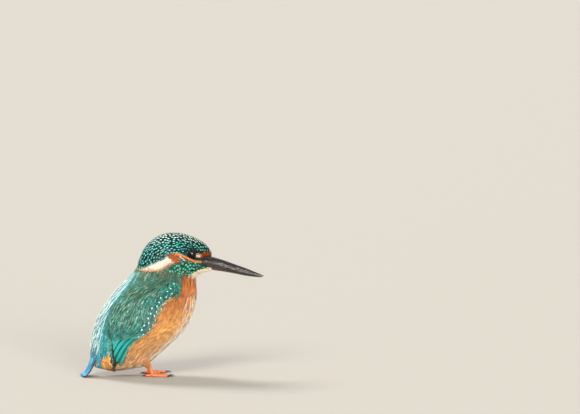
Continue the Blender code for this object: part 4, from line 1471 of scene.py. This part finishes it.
# A dark sheet under the wing's feathers: painted shade where they lie over the body
shade_sheet = shade_slab(wing_sheet, np.linspace(0.02, 0.94, 60), share_across(np.linspace(0.05, 0.95, 24)), -1.4, -0.95)
wing_long, wing_small, wing_dots = joined(list(wing_quills())), wing_coverts(), wing_spots()
thigh = thigh_coat()
cheek_stripes = joined(list(cheek_lines()))
for side in ("left", "right"):
    turn = (lambda shape: shape) if side == "left" else mirrored
    piece(f"wing_shade_sheet_{side}", turn(shade_sheet), bare_skin, "teal_feathers")
    piece(f"wing_quills_{side}", turn(wing_long), quill_vane, "teal_feathers", [f"wing_{side}"])
    piece(f"wing_coverts_{side}", turn(wing_small), plumage, "teal_feathers")
    piece(f"wing_spots_{side}", turn(wing_dots), spotted, "teal_feathers")
    piece(f"wing_barbs_{side}", turn(wing_barbs), loose, "teal_feathers")
    piece(f"flank_barbs_{side}", turn(edge_barbs), loose, "rufous_feathers")
    piece(f"thigh_down_{side}", turn(thigh), plumage, "rufous_feathers")
    piece(f"cheek_lines_{side}", turn(cheek_stripes), plumage, "rufous_feathers")
    piece(f"eye_ball_{side}", turn(eye_shape()), wet_eye, "eye", [f"eye_{side}"])
    for toe in TOES:
        piece(f"talon_{side}_{toe}", turn(claw_shape(toe)), claw_horn, "claw_horn", [f"claw_{side}_{toe}"])
piece("tail_quills", joined(list(tail_quills())), quill_vane, "azure_feathers", ["tail"])
piece("tail_coverts_upper", tail_coverts(tail_top, 0.2, 0.42, "tail_tip", "azure", 43), plumage,
      "azure_feathers")
piece("tail_coverts_under", tail_coverts(tail_under, 0.05, 0.55, "belly", "vent", 44), plumage,
      "rufous_feathers")
piece("upper_bill_horn", bill_half(UPPER_BILL, True), bill_horn, "bill_horn", ["bill_upper"])
piece("lower_bill_horn", bill_half(LOWER_BILL, False), bill_horn, "bill_horn", ["bill_lower"])

# Studio

CAMERA_TURN, CAMERA_RISE, CAMERA_FAR = math.radians(-8), math.radians(5.5), 3.0
CAMERA_LENS, CAMERA_SENSOR, CAMERA_SIGHT = 266, 36, 60  # mm, mm, m
FLOOR_REACH = 15.0  # so far that its edge never shows
AIM = Vector((0.0839, 0.0, 0.1169))  # the bird stands low and left of the frame's middle


def looking(obj, place, target):
    """Sets an object at a place, turned to look at its target."""
    obj.location = place
    obj.rotation_euler = (Vector(target) - Vector(place)).to_track_quat("-Z", "Y").to_euler()
    bpy.context.scene.collection.objects.link(obj)
    return obj


def around_bird(turn, rise, far, centre):
    """A place seen from the bird's right flank: turned about the upright, raised, at a distance."""
    way = Vector((math.sin(turn) * math.cos(rise), -math.cos(turn) * math.cos(rise), math.sin(rise)))
    return Vector(centre) + way * far


lens = bpy.data.cameras.new("camera")
lens.lens, lens.sensor_width, lens.clip_end = CAMERA_LENS, CAMERA_SENSOR, CAMERA_SIGHT
stand = around_bird(CAMERA_TURN, CAMERA_RISE, CAMERA_FAR, AIM)
camera = looking(bpy.data.objects.new("camera", lens), stand, AIM)
bpy.context.scene.camera = camera

for name, turn, rise, wide, power, colour in (  # turn, height and width in degrees
    ("key", -30, 36, 26, 2.4, "#fff4e4"),
    ("rim", 215, 46, 20, 2.6, "#fffaf2"),
    ("fill", 12, 12, 26, 2.8, "#fff8f0"),
):
    lamp = bpy.data.lights.new(name, "SUN")
    lamp.angle, lamp.energy, lamp.color = math.radians(wide), power, linear(colour)
    place = around_bird(math.radians(turn), math.radians(rise), 1.0, (0, 0, 0))
    looking(bpy.data.objects.new(name, lamp), place, (0, 0, 0))

world = bpy.context.scene.world or bpy.data.worlds.new("studio")
bpy.context.scene.world = world
world.use_nodes = True
fed(world.node_tree.nodes["Background"], {"Color": (*linear("#e6e9ec"), 1), "Strength": 0.6})
bpy.context.scene.view_settings.view_transform = "Standard"

mesh = bpy.data.meshes.new("floor")
corners = [(x * FLOOR_REACH, y * FLOOR_REACH, 0) for x, y in ((-1, -1), (1, -1), (1, 1), (-1, 1))]
mesh.from_pydata(corners, [], [(0, 1, 2, 3)])
floor = bpy.data.objects.new("floor", mesh)
bpy.context.scene.collection.objects.link(floor)
# Floor: dull grey paper that takes soft shadows and no lights
paper, _, _ = finish_of("matt studio paper", Roughness=0.9, Base_Color=(*linear("#b0ada7"), 1))
mesh.materials.append(paper)
